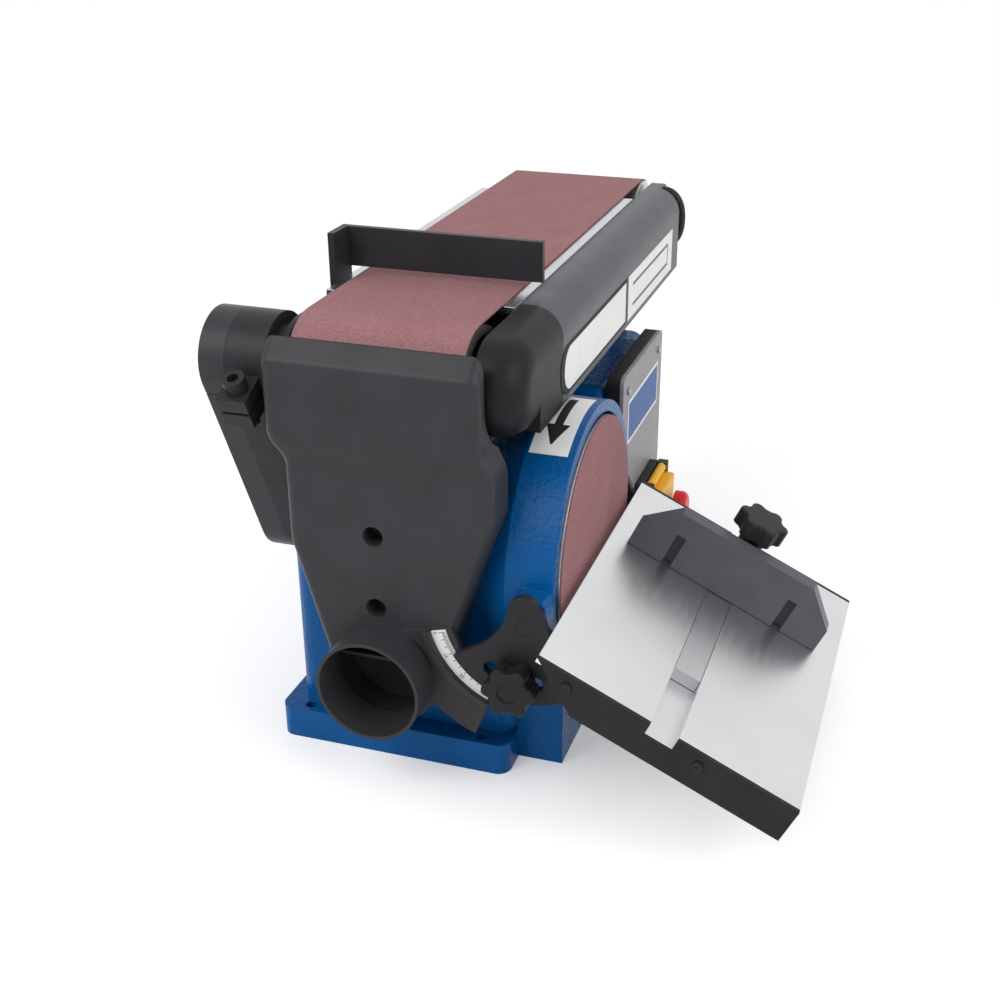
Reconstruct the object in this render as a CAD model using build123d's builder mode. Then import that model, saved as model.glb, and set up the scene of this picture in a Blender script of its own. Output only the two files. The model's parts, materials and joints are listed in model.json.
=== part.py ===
"""Belt and disc sander: a cast housing, a disc with its table, and a belt arm that tilts up.

The frame: +X points out of the sanding disc, +Y runs along the belt away from the operator, +Z is up.
The origin is on the underside of the base, in the middle of its four bolt holes. All sizes are millimetres.
"""
import os
from math import atan2, cos, hypot, pi, radians, sin

from build123d import *

os.makedirs("parts", exist_ok=True)

# Abrasives
belt_width = 100.0
belt_length = 914.0
belt_thickness = 1.0
disc_radius = 75.0
disc_paper_thickness = 1.0
disc_plate_thickness = 9.0
disc_hub_radius = 20.0
disc_proud = 2.0

# Clearances
running_fit = 0.05
free_gap = 0.3
shaft_hole_gap = 2.0

# Motor and drive
motor_y = -90.0
motor_z = 120.0
motor_radius = 43.0
motor_wall = 3.0
motor_shaft_radius = 8.0
bearing_radius = 17.5
bearing_width = 10.0
rotor_radius = 25.5
rotor_air_gap = 0.5
core_left_x = -35.0
core_length = 85.0
motor_pulley_radius = 11.0
drum_pulley_radius = 21.0
pulley_width = 9.0
drive_belt_thickness = 1.4
drive_belt_width = 7.0

# Housing
base_width = 146.0
base_length = 348.0
base_thickness = 20.0
base_corner_radius = 8.0
bolt_spacing_x = 110.0
bolt_spacing_y = 334.0
bolt_hole_radius = 3.5
body_left_x = -66.0
body_right_x = 72.0
body_front_y = -160.0
body_back_y = 160.0
body_top_z = 170.0
body_round = 12.0
body_wall = 6.0
guard_radius = 84.0
guard_pedestal = 124.0
guard_face_x = 100.0
guard_rim_depth = 28.0
guard_shoulder_length = 38.0
guard_shoulder_taper = 28.0
guard_recess_radius = 77.0
guard_recess_depth = 18.0
boss_width = 20.0
boss_height = 26.0
boss_round = 3.0
boss_root = 26.0
pad_left_x = 40.0
pad_face_x = 82.0
pad_top_z = 180.0
pad_margin = 0.5
pad_round = 8.0
gland_radius = 9.0
gland_length = 14.0
gland_bore_radius = 4.0
gland_x = 30.0
gland_z = 45.0

# Belt arm
drum_y = -146.0
drum_z = 235.0
drum_radius = 30.0
drum_wall = 5.0
drum_web = 20.0
drum_length = 102.0
drum_shaft_radius = 7.5
side_plate_thickness = 3.0
side_plate_x = 54.0
side_plate_drop = 28.0
side_plate_nose_radius = 26.0
side_plate_end_y = 160.0
platen_thickness = 4.0
platen_start_y = -108.0
arm_web_thickness = 6.0
arm_web_inset = 4.0
arm_web_near_y = 60.0
arm_web_far_y = 140.0
hub_radius = 20.0
hub_end_gap = 0.5
drum_bearing_radius = 14.0
drum_boss_radius = 18.0
shield_radius = 29.0
shield_wall = 2.5
shield_face_x = 82.0
shield_round = 18.0
shield_skirt_start_y = -140.0
shield_window_start_y = 204.0
shield_window_end_y = 232.0
shield_window_inner_x = 66.0

# Idler end
carriage_bar_radius = 8.0
carriage_bar_length = 120.0
carriage_plate_y = 176.0
carriage_plate_thickness = 4.0
ear_thickness = 3.5
ear_half_height = 13.0
idler_axle_radius = 6.0
idler_bearing_radius = 13.0
tracking_knob_radius = 12.0
tracking_knob_gap = 2.0
tracking_knob_length = 15.0
spring_gap = 1.0
spring_wire = 2.5
lever_y = 90.0
lever_z = 228.0
lever_length = 42.0
lever_thickness = 4.0
lever_boss_radius = 9.0
lever_pin_radius = 4.0
lever_pin_length = 6.0

# Work stop across the belt
stop_thickness = 4.0
stop_leg_width = 22.0
stop_face_y = -72.0
stop_right_x = 63.0
stop_gap = 4.3
stop_height = 23.4
stop_leg_drop = 36.0
stop_travel = 6.0
stop_screw_radius = 3.0
stop_screw_drop = 18.0

# Rest under the lowered arm
rest_y = 140.0
rest_length = 36.0
rest_thickness = 4.5
rest_right_x = 56.0
rest_foot = 20.0

# Drive bracket and cover on the left
bracket_left_x = -90.0
cover_left_x = -106.0
cover_top_radius = 27.0
cover_bottom_radius = 31.0
cover_wall = 2.5
cover_seam_z = 217.0
cover_seam_gap = 0.5
clamp_x = -78.0
clamp_slit = 2.0
clamp_lug = 20.0
clamp_lug_width = 18.0
clamp_height = 20.0
clamp_root = 2.0
clamp_bolt_radius = 4.0
clamp_head_radius = 6.5
clamp_head_height = 8.0
clamp_socket_radius = 3.5
clamp_nut_height = 6.0

# Dust hood
hood_wall = 2.5
hood_left_x = -60.0
hood_right_x = 64.0
hood_neck_left_x = -52.0
hood_neck_right_x = 70.0
hood_box_front_y = -190.0
hood_neck_front_y = -186.0
hood_top_z = 261.0
hood_box_bottom_z = 205.0
hood_neck_top_z = 192.0
hood_taper_left_z = 142.0
hood_taper_right_z = 167.0
hood_foot_radius = 34.0
hood_curve = 20.0
hood_lip_curve = 5.0
hood_corner = 6.0
hood_lip_height = 11.0
hood_lip_depth = 10.0
hood_swing_radius = 34.0
hood_post_radius = 9.5
hood_screw_x = 0.0
hood_screw_heights = (107.0, 152.0)
hood_screw_radius = 2.5
hood_screw_head_radius = 5.4
hood_screw_head_height = 3.0
hood_counterbore_radius = 6.0
hood_counterbore_depth = 14.0
port_x = 3.0
port_z = 67.0
port_outer_radius = 31.0
port_bore_radius = 29.0
port_front_y = -211.0
port_divider_rise = 6.0
port_divider_thickness = 2.0
port_divider_length = 18.0
flange_start_angle = 194.0
flange_end_angle = 248.0
flange_outer_radius = 85.0
flange_thickness = 4.0
flange_rim_width = 4.0
flange_rim_height = 4.5
scale_inner_radius = 50.0
scale_outer_radius = 59.0
scale_start_angle = 195.0
scale_end_angle = 246.0
scale_thickness = 0.6

# Tilting table: distances across the table start at its pivot
pivot_x = 90.0
pivot_z = 114.2
pivot_pin_radius = 5.0
pivot_pin_depth = 5.0
pivot_lobe_radius = 12.0
table_tilt = 25.24
table_near_y = -220.0
table_length = 225.0
table_width = 155.0
table_inner = 14.0
table_top_n = 9.2
table_plate = 5.0
table_skirt = 22.0
table_skirt_thickness = 4.0
table_screw_insets = (20.6, 99.2)
table_screw_drop = 7.4
table_screw_radius = 3.0
table_screw_head = 1.5
table_lug = 12.0
table_lug_depth = 5.0
end_cap_thickness = 3.0
end_cap_slope = 30.0
mitre_slot_inset = 75.5
mitre_slot_width = 16.4
mitre_slot_depth = 8.5
mitre_channel_wall = 4.0
trunnion_thickness = 5.0
trunnion_back_y = -188.0
trunnion_radius = 48.5
trunnion_foot = 62.0
trunnion_waist = 38.0
trunnion_waist_drop = 30.0
lock_slot_radius = 35.0
lock_angle = 261.0
lock_stud_radius = 4.0
tilt_range = 45.0
pointer_angle = 236.0
trunnion_crown = (-5.0, 8.6)
trunnion_crown_radius = 8.5
trunnion_flare = 34.0
sector_end_angle = 322.0

# Mitre gauge, measured along the table from its near edge
mitre_bar_near = 56.0
mitre_bar_far = 215.0
mitre_bar_width = 16.0
mitre_bar_height = 8.0
mitre_pivot_l = 172.0
mitre_pivot_back = 15.0
mitre_head_width = 129.0
mitre_head_height = 36.0
mitre_head_thickness = 10.0
mitre_head_corner = 20.0
mitre_slot_offset = 38.0
mitre_face_slot_width = 6.0
mitre_face_slot_height = 22.0
mitre_face_slot_depth = 6.0
mitre_base_radius = 42.0
mitre_base_thickness = 8.0
mitre_scale_inner = 30.0
mitre_scale_outer = 40.0
mitre_scale_start_angle = 15.0
mitre_scale_end_angle = 165.0
mitre_stud_radius = 4.0
mitre_knob_radius = 16.0
mitre_knob_rise = 29.0
mitre_knob_hub_radius = 8.0

# Knobs
knob_radius = 15.5
knob_lobes = 6
knob_thickness = 11.0
knob_edge = 1.5
knob_dish_radius = 6.0
knob_dish_depth = 0.8
knob_hub_radius = 9.0
knob_hub_length = 3.0

# Switch
switch_box_near_y = 1.0
switch_box_far_y = 110.0
switch_box_bottom_z = 48.0
switch_box_top_z = 188.0
switch_box_face_x = 91.0
switch_box_wall = 2.5
switch_plate_thickness = 2.5
plate_slot_inset = 12.0
plate_screw_radius = 2.5
plate_screw_head = 1.5
switch_y = 64.0
switch_width = 50.0
switch_bottom_z = 52.0
switch_top_z = 98.0
switch_frame_depth = 6.0
flap_side_gap = 3.5
flap_depth = 13.0
flap_wall = 2.0
flap_barrel_radius = 3.2
flap_pin_radius = 1.5
flap_lug_size = 7.0
start_button_radius = 7.0
start_button_travel = 2.0
stop_button_radius = 6.0
stop_button_travel = 4.0
mushroom_radius = 12.0
mushroom_thickness = 9.0

# Worked out from the driving dimensions
disc_face_x = guard_face_x + disc_proud
disc_back_x = disc_face_x - disc_paper_thickness - disc_plate_thickness
motor_shaft_right_x = disc_back_x + disc_plate_thickness / 2
belt_inner_radius = drum_radius + free_gap
belt_outer_radius = belt_inner_radius + belt_thickness
drum_spacing = (belt_length - 2 * pi * belt_inner_radius) / 2
idler_y = drum_y + drum_spacing
belt_top_z = drum_z + belt_outer_radius
platen_top_z = drum_z + belt_inner_radius - free_gap
plate_top_z = platen_top_z - platen_thickness
plate_bottom_z = drum_z - side_plate_drop
arm_side_x = side_plate_x + side_plate_thickness
guard_rim_back_x = guard_face_x - guard_rim_depth
recess_floor_x = guard_face_x - guard_recess_depth
guard_front_y = motor_y - guard_radius
guard_rear_y = motor_y + guard_radius
cavity_left_x = body_left_x + body_wall
cavity_right_x = body_right_x - body_wall
cavity_top_z = body_top_z - body_wall
shaft_left_x = cover_left_x + cover_wall + 2 * free_gap
pulley_left_x = shaft_left_x + free_gap
motor_axis = (motor_y, motor_z)
drum_axis = (drum_y, drum_z)
idler_axis = (idler_y, drum_z)
pivot_axis = (pivot_x, pivot_z)
stud_axis = (
    pivot_x + lock_slot_radius * cos(radians(lock_angle)),
    pivot_z + lock_slot_radius * sin(radians(lock_angle)),
)
boss_front_y = trunnion_back_y + free_gap
trunnion_front_y = trunnion_back_y - trunnion_thickness
stop_screw_axis = (stop_face_y - stop_leg_width / 2, plate_top_z - stop_screw_drop)
table_under_n = table_top_n - table_plate
table_skirt_n = table_top_n - table_skirt
table_far_y = table_near_y + table_length
slot_w = table_inner + mitre_slot_inset
slot_floor_n = table_top_n - mitre_slot_depth
channel_n = slot_floor_n - mitre_channel_wall
table_screw_n = table_top_n - table_screw_drop
mitre_foot_n = table_top_n + free_gap
mitre_base_top_n = mitre_foot_n + mitre_base_thickness
mitre_knob_n = mitre_base_top_n + free_gap
switch_box_y = (switch_box_near_y + switch_box_far_y) / 2
switch_box_z = (switch_box_bottom_z + switch_box_top_z) / 2
switch_box_width = switch_box_far_y - switch_box_near_y
switch_box_height = switch_box_top_z - switch_box_bottom_z
switch_face_x = switch_box_face_x + switch_plate_thickness
switch_front_x = switch_face_x + switch_frame_depth
flap_back_x = switch_front_x + free_gap
flap_front_x = flap_back_x + flap_depth
flap_pin_axis = (flap_back_x + flap_barrel_radius, switch_top_z - flap_barrel_radius)
flap_top_z = flap_pin_axis[1] - flap_barrel_radius
flap_bottom_z = switch_bottom_z + flap_side_gap
flap_width = switch_width - 2 * flap_lug_size
stop_button_z = (flap_bottom_z + flap_top_z) / 2

# The table's own plane: x across it from the pivot, y along it from the near edge, z out of its top
tilt = radians(table_tilt)
across_table = (cos(tilt), 0, -sin(tilt))
table_plane = Plane(origin=(pivot_x, table_near_y, pivot_z), x_dir=across_table, z_dir=(sin(tilt), 0, cos(tilt)))

# The arm clamp's plane: y points out of the clamp ring and z runs down the drive towards the motor
drive_length = hypot(motor_y - drum_y, motor_z - drum_z)
drive_y = (motor_y - drum_y) / drive_length
drive_z = (motor_z - drum_z) / drive_length
clamp_reach = cover_top_radius - clamp_root + clamp_lug / 2
clamp_plane = Plane(
    origin=(clamp_x, drum_y + clamp_reach * drive_z, drum_z - clamp_reach * drive_y),
    x_dir=(1, 0, 0),
    z_dir=(0, drive_y, drive_z),
)


def yz(x):
    """Plane across the X axis: sketch x is +Y and sketch y is +Z."""
    return Plane.YZ.offset(x)


def xz(y):
    """Plane across the Y axis: sketch x is +X, sketch y is +Z and the normal is -Y."""
    return Plane.XZ.offset(-y)


def pivot_front(y):
    """Upright plane at the table's pivot: sketch x is +X, sketch y is +Z and the normal is -Y."""
    return Plane(origin=(pivot_x, y, pivot_z), x_dir=(1, 0, 0), z_dir=(0, -1, 0))


def table_end(y):
    """Plane square to the table's length: sketch x is across it, sketch y out of its top, normal -Y."""
    return Plane(origin=(pivot_x, y, pivot_z), x_dir=across_table, z_dir=(0, -1, 0))


def on_table(n):
    """Plane parallel to the table's top at a height n above its pivot."""
    return table_plane.offset(n)


def outline_face(*points):
    """Face inside straight edges between points."""
    with BuildLine() as outline:
        Polyline(*points, close=True)
    make_face(outline.edges())


def ring_sector(inner, outer, start, end, mode=Mode.ADD):
    """Face between two radii and two angles about the sketch's origin."""
    with BuildLine() as outline:
        far = CenterArc((0, 0), outer, start, end - start)
        near = CenterArc((0, 0), inner, start, end - start)
        Line(far @ 0, near @ 0)
        Line(far @ 1, near @ 1)
    make_face(outline.edges(), mode=mode)


def two_circle_hull(first, first_radius, second, second_radius):
    """Outline of a band pulled tight round two circles."""
    with Locations(first):
        Circle(first_radius)
    with Locations(second):
        Circle(second_radius)
    make_hull()


def belt_loop(radius):
    """Outline of the sanding belt's path at a radius from the drums' axes."""
    with Locations(((drum_y + idler_y) / 2, drum_z)):
        SlotCenterToCenter(drum_spacing, 2 * radius)


def star(sketch, radius):
    """Lobed outline of a hand knob about the sketch's origin, with softened hollows between the lobes."""
    Circle(0.8 * radius)
    with PolarLocations(0.72 * radius, knob_lobes):
        Circle(0.28 * radius)
    fillet(sketch.vertices(), radius=0.12 * radius)


def ring(center, outer, inner):
    """Washer-shaped face."""
    with Locations(center):
        Circle(outer)
        Circle(inner, mode=Mode.SUBTRACT)


def disc(center, radius):
    """Round face."""
    with Locations(center):
        Circle(radius)


def save(builder, name):
    """Label a finished piece and write it to its own file."""
    builder.part.label = name
    export_step(builder.part, f"parts/{name}.step")


# Housing: base flange, hollow motor body and the round guard behind the disc
with BuildPart() as housing:
    with BuildSketch():
        RectangleRounded(base_width, base_length, base_corner_radius)
    extrude(amount=base_thickness)
    with BuildSketch():
        with Locations(((body_left_x + body_right_x) / 2, (body_front_y + body_back_y) / 2)):
            RectangleRounded(body_right_x - body_left_x, body_back_y - body_front_y, body_round)
    extrude(amount=body_top_z)
    fillet(housing.faces().sort_by(Axis.Z)[-1].edges(), radius=0.9 * body_round)
    with BuildSketch(yz(guard_rim_back_x)) as guard_outline:
        disc(motor_axis, guard_radius)
        with Locations((motor_y, motor_z / 2)):
            Rectangle(guard_pedestal, motor_z)
    extrude(amount=guard_rim_depth)
    extrude(guard_outline.sketch, amount=-guard_shoulder_length, taper=guard_shoulder_taper)
    with BuildSketch():
        with Locations(((pad_left_x + pad_face_x) / 2, switch_box_y)):
            RectangleRounded(pad_face_x - pad_left_x, switch_box_width + 2 * pad_margin, pad_round)
    extrude(amount=pad_top_z)
    pad_rim = housing.faces().filter_by(Axis.Z).filter_by_position(Axis.Z, pad_top_z, pad_top_z)
    fillet(pad_rim.edges(), radius=0.9 * pad_round)
    with BuildSketch(xz(guard_front_y + boss_root)):
        for boss_center in (pivot_axis, stud_axis):
            with Locations(boss_center):
                RectangleRounded(boss_width, boss_height, boss_round)
    extrude(amount=guard_front_y + boss_root - boss_front_y)
    with BuildSketch(yz(recess_floor_x)):
        disc(motor_axis, guard_recess_radius)
    extrude(amount=guard_recess_depth, mode=Mode.SUBTRACT)
    with BuildSketch():
        with Locations(((cavity_left_x + cavity_right_x) / 2, (body_front_y + body_back_y) / 2)):
            Rectangle(cavity_right_x - cavity_left_x, body_back_y - body_front_y - 2 * body_wall)
    extrude(amount=cavity_top_z, mode=Mode.SUBTRACT)
    with BuildSketch(yz(body_left_x)):
        disc(motor_axis, motor_shaft_radius + shaft_hole_gap)
    extrude(amount=recess_floor_x - body_left_x, mode=Mode.SUBTRACT)
    with BuildSketch(yz(recess_floor_x)):
        disc(motor_axis, bearing_radius)
    extrude(amount=-bearing_width, mode=Mode.SUBTRACT)
    with BuildSketch(xz(boss_front_y)):
        disc(pivot_axis, pivot_pin_radius)
        disc(stud_axis, lock_stud_radius)
    extrude(amount=guard_front_y + pivot_pin_depth - boss_front_y, dir=(0, 1, 0), mode=Mode.SUBTRACT)
    with BuildSketch(xz(guard_rear_y)):
        disc(pivot_axis, pivot_pin_radius)
    extrude(amount=pivot_pin_depth, mode=Mode.SUBTRACT)
    with BuildSketch(xz(body_front_y)):
        for screw_z in hood_screw_heights:
            disc((hood_screw_x, screw_z), hood_screw_radius)
    extrude(amount=-body_wall, mode=Mode.SUBTRACT)
    with BuildSketch():
        with GridLocations(bolt_spacing_x, bolt_spacing_y, 2, 2):
            Circle(bolt_hole_radius)
    extrude(amount=base_thickness, mode=Mode.SUBTRACT)
save(housing, "housing")

with BuildPart() as cable_gland:
    with BuildSketch(xz(body_back_y)):
        ring((gland_x, gland_z), gland_radius, gland_bore_radius)
    extrude(amount=-gland_length)
    chamfer(cable_gland.faces().sort_by(Axis.Y)[-1].outer_wire().edges(), gland_bore_radius / 2)
save(cable_gland, "cable_gland")

# Motor, from the case inwards
with BuildPart() as motor_case:
    with BuildSketch(yz(cavity_left_x)):
        ring(motor_axis, motor_radius, bearing_radius)
    extrude(amount=bearing_width)
    with BuildSketch(yz(cavity_left_x + bearing_width)):
        ring(motor_axis, motor_radius, motor_radius - motor_wall)
    extrude(amount=cavity_right_x - cavity_left_x - bearing_width)
save(motor_case, "motor_case")

with BuildPart() as stator:
    with BuildSketch(yz(core_left_x)):
        ring(motor_axis, motor_radius - motor_wall, rotor_radius + rotor_air_gap)
    extrude(amount=core_length)
save(stator, "stator")

with BuildPart() as rotor_core:
    with BuildSketch(yz(core_left_x)):
        ring(motor_axis, rotor_radius, motor_shaft_radius)
    extrude(amount=core_length)
save(rotor_core, "rotor_core")

with BuildPart() as motor_shaft:
    with BuildSketch(yz(shaft_left_x)):
        disc(motor_axis, motor_shaft_radius)
    extrude(amount=motor_shaft_right_x - shaft_left_x)
save(motor_shaft, "motor_shaft")

with BuildPart() as motor_bearings:
    for bearing_x in (cavity_left_x, recess_floor_x - bearing_width):
        with BuildSketch(yz(bearing_x)):
            ring(motor_axis, bearing_radius, motor_shaft_radius + running_fit)
        extrude(amount=bearing_width)
save(motor_bearings, "motor_bearings")

# Sanding disc
with BuildPart() as disc_plate:
    with BuildSketch(yz(disc_back_x)):
        disc(motor_axis, disc_radius)
    extrude(amount=disc_plate_thickness)
    with BuildSketch(yz(recess_floor_x + shaft_hole_gap)):
        disc(motor_axis, disc_hub_radius)
    extrude(amount=disc_back_x - recess_floor_x - shaft_hole_gap)
    with BuildSketch(yz(recess_floor_x)):
        disc(motor_axis, motor_shaft_radius)
    extrude(amount=motor_shaft_right_x - recess_floor_x, mode=Mode.SUBTRACT)
save(disc_plate, "disc_plate")

with BuildPart() as disc_paper:
    with BuildSketch(yz(disc_face_x - disc_paper_thickness)):
        disc(motor_axis, disc_radius)
    extrude(amount=disc_paper_thickness)
save(disc_paper, "disc_paper")

# Drive from the motor up to the drum, on the left
with BuildPart() as motor_pulley:
    with BuildSketch(yz(pulley_left_x)):
        ring(motor_axis, motor_pulley_radius, motor_shaft_radius)
    extrude(amount=pulley_width)
save(motor_pulley, "motor_pulley")

with BuildPart() as drum_pulley:
    with BuildSketch(yz(pulley_left_x)):
        ring(drum_axis, drum_pulley_radius, drum_shaft_radius)
    extrude(amount=pulley_width)
save(drum_pulley, "drum_pulley")

drive_belt_left_x = pulley_left_x + (pulley_width - drive_belt_width) / 2
drive_belt_reach = free_gap + drive_belt_thickness
with BuildPart() as drive_belt:
    with BuildSketch(yz(drive_belt_left_x)):
        two_circle_hull(
            drum_axis, drum_pulley_radius + drive_belt_reach,
            motor_axis, motor_pulley_radius + drive_belt_reach,
        )
    extrude(amount=drive_belt_width)
    with BuildSketch(yz(drive_belt_left_x)):
        two_circle_hull(drum_axis, drum_pulley_radius + free_gap, motor_axis, motor_pulley_radius + free_gap)
    extrude(amount=drive_belt_width, mode=Mode.SUBTRACT)
save(drive_belt, "drive_belt")

with BuildPart() as pivot_bracket:
    with BuildSketch(yz(bracket_left_x)):
        two_circle_hull(drum_axis, cover_top_radius, motor_axis, cover_bottom_radius)
    extrude(amount=body_left_x - bracket_left_x)
    with Locations(clamp_plane):
        Box(clamp_lug_width, clamp_lug, clamp_height)
    with BuildSketch(yz(bracket_left_x)):
        disc(drum_axis, hub_radius + running_fit)
        disc(motor_axis, motor_shaft_radius + shaft_hole_gap)
    extrude(amount=body_left_x - bracket_left_x, mode=Mode.SUBTRACT)
    with Locations(clamp_plane):
        Box(2 * (body_left_x - bracket_left_x), 2 * clamp_lug, clamp_slit, mode=Mode.SUBTRACT)
        Cylinder(clamp_bolt_radius, clamp_height, mode=Mode.SUBTRACT)
save(pivot_bracket, "pivot_bracket")

with BuildPart() as clamp_bolt:
    with BuildSketch(clamp_plane.offset(-clamp_height / 2 - clamp_head_height)):
        Circle(clamp_head_radius)
    extrude(amount=clamp_head_height)
    with BuildSketch(clamp_plane.offset(-clamp_height / 2 - clamp_head_height)):
        RegularPolygon(clamp_socket_radius, 6)
    extrude(amount=clamp_head_height / 2, mode=Mode.SUBTRACT)
    with BuildSketch(clamp_plane.offset(-clamp_height / 2)):
        Circle(clamp_bolt_radius)
    extrude(amount=clamp_height + clamp_head_height)
    with BuildSketch(clamp_plane.offset(clamp_height / 2)):
        RegularPolygon(clamp_head_radius, 6)
    extrude(amount=clamp_nut_height)
save(clamp_bolt, "clamp_bolt")

with BuildPart() as cover_shell:
    with BuildSketch(yz(cover_left_x)):
        two_circle_hull(drum_axis, cover_top_radius, motor_axis, cover_bottom_radius)
    extrude(amount=bracket_left_x - cover_left_x)
    with BuildSketch(yz(cover_left_x + cover_wall)):
        two_circle_hull(
            drum_axis, cover_top_radius - cover_wall,
            motor_axis, cover_bottom_radius - cover_wall,
        )
    extrude(amount=bracket_left_x - cover_left_x - cover_wall, mode=Mode.SUBTRACT)

with BuildPart() as drive_cover:
    add(cover_shell.part)
    split(bisect_by=Plane.XY.offset(cover_seam_z), keep=Keep.BOTTOM)
save(drive_cover, "drive_cover")

with BuildPart() as drive_cover_cap:
    add(cover_shell.part)
    split(bisect_by=Plane.XY.offset(cover_seam_z + cover_seam_gap), keep=Keep.TOP)
save(drive_cover_cap, "drive_cover_cap")

# Belt arm: two side plates joined by webs, turning on a hub in the clamp
with BuildPart() as arm_frame:
    for plate_x in (-arm_side_x, side_plate_x):
        with BuildSketch(yz(plate_x)):
            disc(drum_axis, side_plate_nose_radius)
            with Locations((drum_y, plate_bottom_z)):
                Rectangle(side_plate_end_y - drum_y, plate_top_z - plate_bottom_z, align=(Align.MIN, Align.MIN))
        extrude(amount=side_plate_thickness)
    for web_y in (arm_web_near_y, arm_web_far_y):
        with BuildSketch(xz(web_y)):
            with Locations((0, (plate_top_z + plate_bottom_z) / 2)):
                Rectangle(2 * side_plate_x, plate_top_z - plate_bottom_z - 2 * arm_web_inset)
            with Locations((0, drum_z)):
                Circle(carriage_bar_radius + running_fit, mode=Mode.SUBTRACT)
        extrude(amount=-arm_web_thickness)
    with BuildSketch(yz(arm_side_x)):
        disc(drum_axis, drum_boss_radius)
    extrude(amount=bearing_width)
    with BuildSketch(yz(arm_side_x)):
        disc(drum_axis, drum_bearing_radius)
    extrude(amount=bearing_width, mode=Mode.SUBTRACT)
    with BuildSketch(yz(-arm_side_x)):
        disc(drum_axis, drum_shaft_radius + shaft_hole_gap)
    extrude(amount=2 * arm_side_x, mode=Mode.SUBTRACT)
    with BuildSketch(yz(-arm_side_x)):
        disc((lever_y, lever_z), lever_pin_radius)
    extrude(amount=-lever_pin_length)
save(arm_frame, "arm_frame")

with BuildPart() as arm_hub:
    with BuildSketch(yz(bracket_left_x + hub_end_gap)):
        ring(drum_axis, hub_radius, drum_shaft_radius + shaft_hole_gap)
    extrude(amount=-arm_side_x - bracket_left_x - hub_end_gap)
    with BuildSketch(yz(-arm_side_x)):
        disc(drum_axis, drum_bearing_radius)
    extrude(amount=-bearing_width, mode=Mode.SUBTRACT)
save(arm_hub, "arm_hub")

with BuildPart() as drum_bearings:
    for bearing_x in (-arm_side_x - bearing_width, arm_side_x):
        with BuildSketch(yz(bearing_x)):
            ring(drum_axis, drum_bearing_radius, drum_shaft_radius + running_fit)
        extrude(amount=bearing_width)
save(drum_bearings, "drum_bearings")

with BuildPart() as platen:
    with BuildSketch(Plane.XY.offset(plate_top_z)):
        with Locations((0, (platen_start_y + side_plate_end_y) / 2)):
            Rectangle(2 * arm_side_x, side_plate_end_y - platen_start_y)
    extrude(amount=platen_thickness)
save(platen, "platen")

# Shield along the belt's right edge: rounded on top, flat and upright below
shield_skirt_length = shield_window_start_y - shield_skirt_start_y
with BuildPart() as shield_hollow:
    with BuildSketch(yz(arm_side_x)):
        belt_loop(shield_radius - shield_wall)
    extrude(amount=shield_face_x - shield_wall - arm_side_x)
    fillet(shield_hollow.faces().sort_by(Axis.X)[-1].edges(), radius=shield_round - shield_wall)
    with BuildSketch(yz(arm_side_x)):
        with Locations((shield_skirt_start_y + shield_wall, drum_z)):
            Rectangle(shield_skirt_length, shield_radius - shield_wall, align=(Align.MIN, Align.MAX))
    extrude(amount=shield_face_x - shield_wall - arm_side_x)

with BuildPart() as side_shield:
    with BuildSketch(yz(arm_side_x)):
        belt_loop(shield_radius)
    extrude(amount=shield_face_x - arm_side_x)
    fillet(side_shield.faces().sort_by(Axis.X)[-1].edges(), radius=shield_round)
    with BuildSketch(yz(arm_side_x)):
        with Locations((shield_skirt_start_y, drum_z)):
            Rectangle(shield_skirt_length, shield_radius, align=(Align.MIN, Align.MAX))
    extrude(amount=shield_face_x - arm_side_x)
    add(shield_hollow.part, mode=Mode.SUBTRACT)
    with BuildSketch(xz(shield_window_end_y)):
        with Locations((shield_window_inner_x, drum_z)):
            Rectangle(shield_face_x, 4 * shield_radius, align=(Align.MIN, Align.CENTER))
    extrude(amount=shield_window_end_y - shield_window_start_y, mode=Mode.SUBTRACT)
save(side_shield, "side_shield")

with BuildPart() as sanding_belt:
    with BuildSketch(yz(-belt_width / 2)):
        belt_loop(belt_outer_radius)
    extrude(amount=belt_width)
    with BuildSketch(yz(-belt_width / 2)):
        belt_loop(belt_inner_radius)
    extrude(amount=belt_width, mode=Mode.SUBTRACT)
save(sanding_belt, "sanding_belt")

with BuildPart() as drive_drum:
    with BuildSketch(yz(-drum_length / 2)):
        ring(drum_axis, drum_radius, drum_radius - drum_wall)
    extrude(amount=drum_length)
    with BuildSketch(yz(-drum_web / 2)):
        ring(drum_axis, drum_radius - drum_wall, drum_shaft_radius)
    extrude(amount=drum_web)
save(drive_drum, "drive_drum")

with BuildPart() as drum_shaft:
    with BuildSketch(yz(shaft_left_x)):
        disc(drum_axis, drum_shaft_radius)
    extrude(amount=arm_side_x + bearing_width - shaft_left_x)
save(drum_shaft, "drum_shaft")

# Idler drum and the sprung carriage that keeps the belt tight
with BuildPart() as idler_carriage:
    with BuildSketch(xz(carriage_plate_y)):
        disc((0, drum_z), carriage_bar_radius)
    extrude(amount=carriage_bar_length)
    with BuildSketch(xz(carriage_plate_y)):
        with Locations((0, drum_z)):
            Rectangle(2 * arm_side_x, 2 * ear_half_height)
    extrude(amount=-carriage_plate_thickness)
    for ear_x in (-arm_side_x, arm_side_x - ear_thickness):
        with BuildSketch(yz(ear_x)):
            with Locations((carriage_plate_y, drum_z)):
                Rectangle(idler_y - carriage_plate_y, 2 * ear_half_height, align=(Align.MIN, Align.CENTER))
            ring(idler_axis, ear_half_height, idler_axle_radius)
        extrude(amount=ear_thickness)
save(idler_carriage, "idler_carriage")

with BuildPart() as tension_spring:
    with BuildSketch(xz(carriage_plate_y)):
        ring((0, drum_z), carriage_bar_radius + spring_gap + spring_wire, carriage_bar_radius + spring_gap)
    extrude(amount=carriage_plate_y - arm_web_far_y - arm_web_thickness)
save(tension_spring, "tension_spring")

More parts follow.
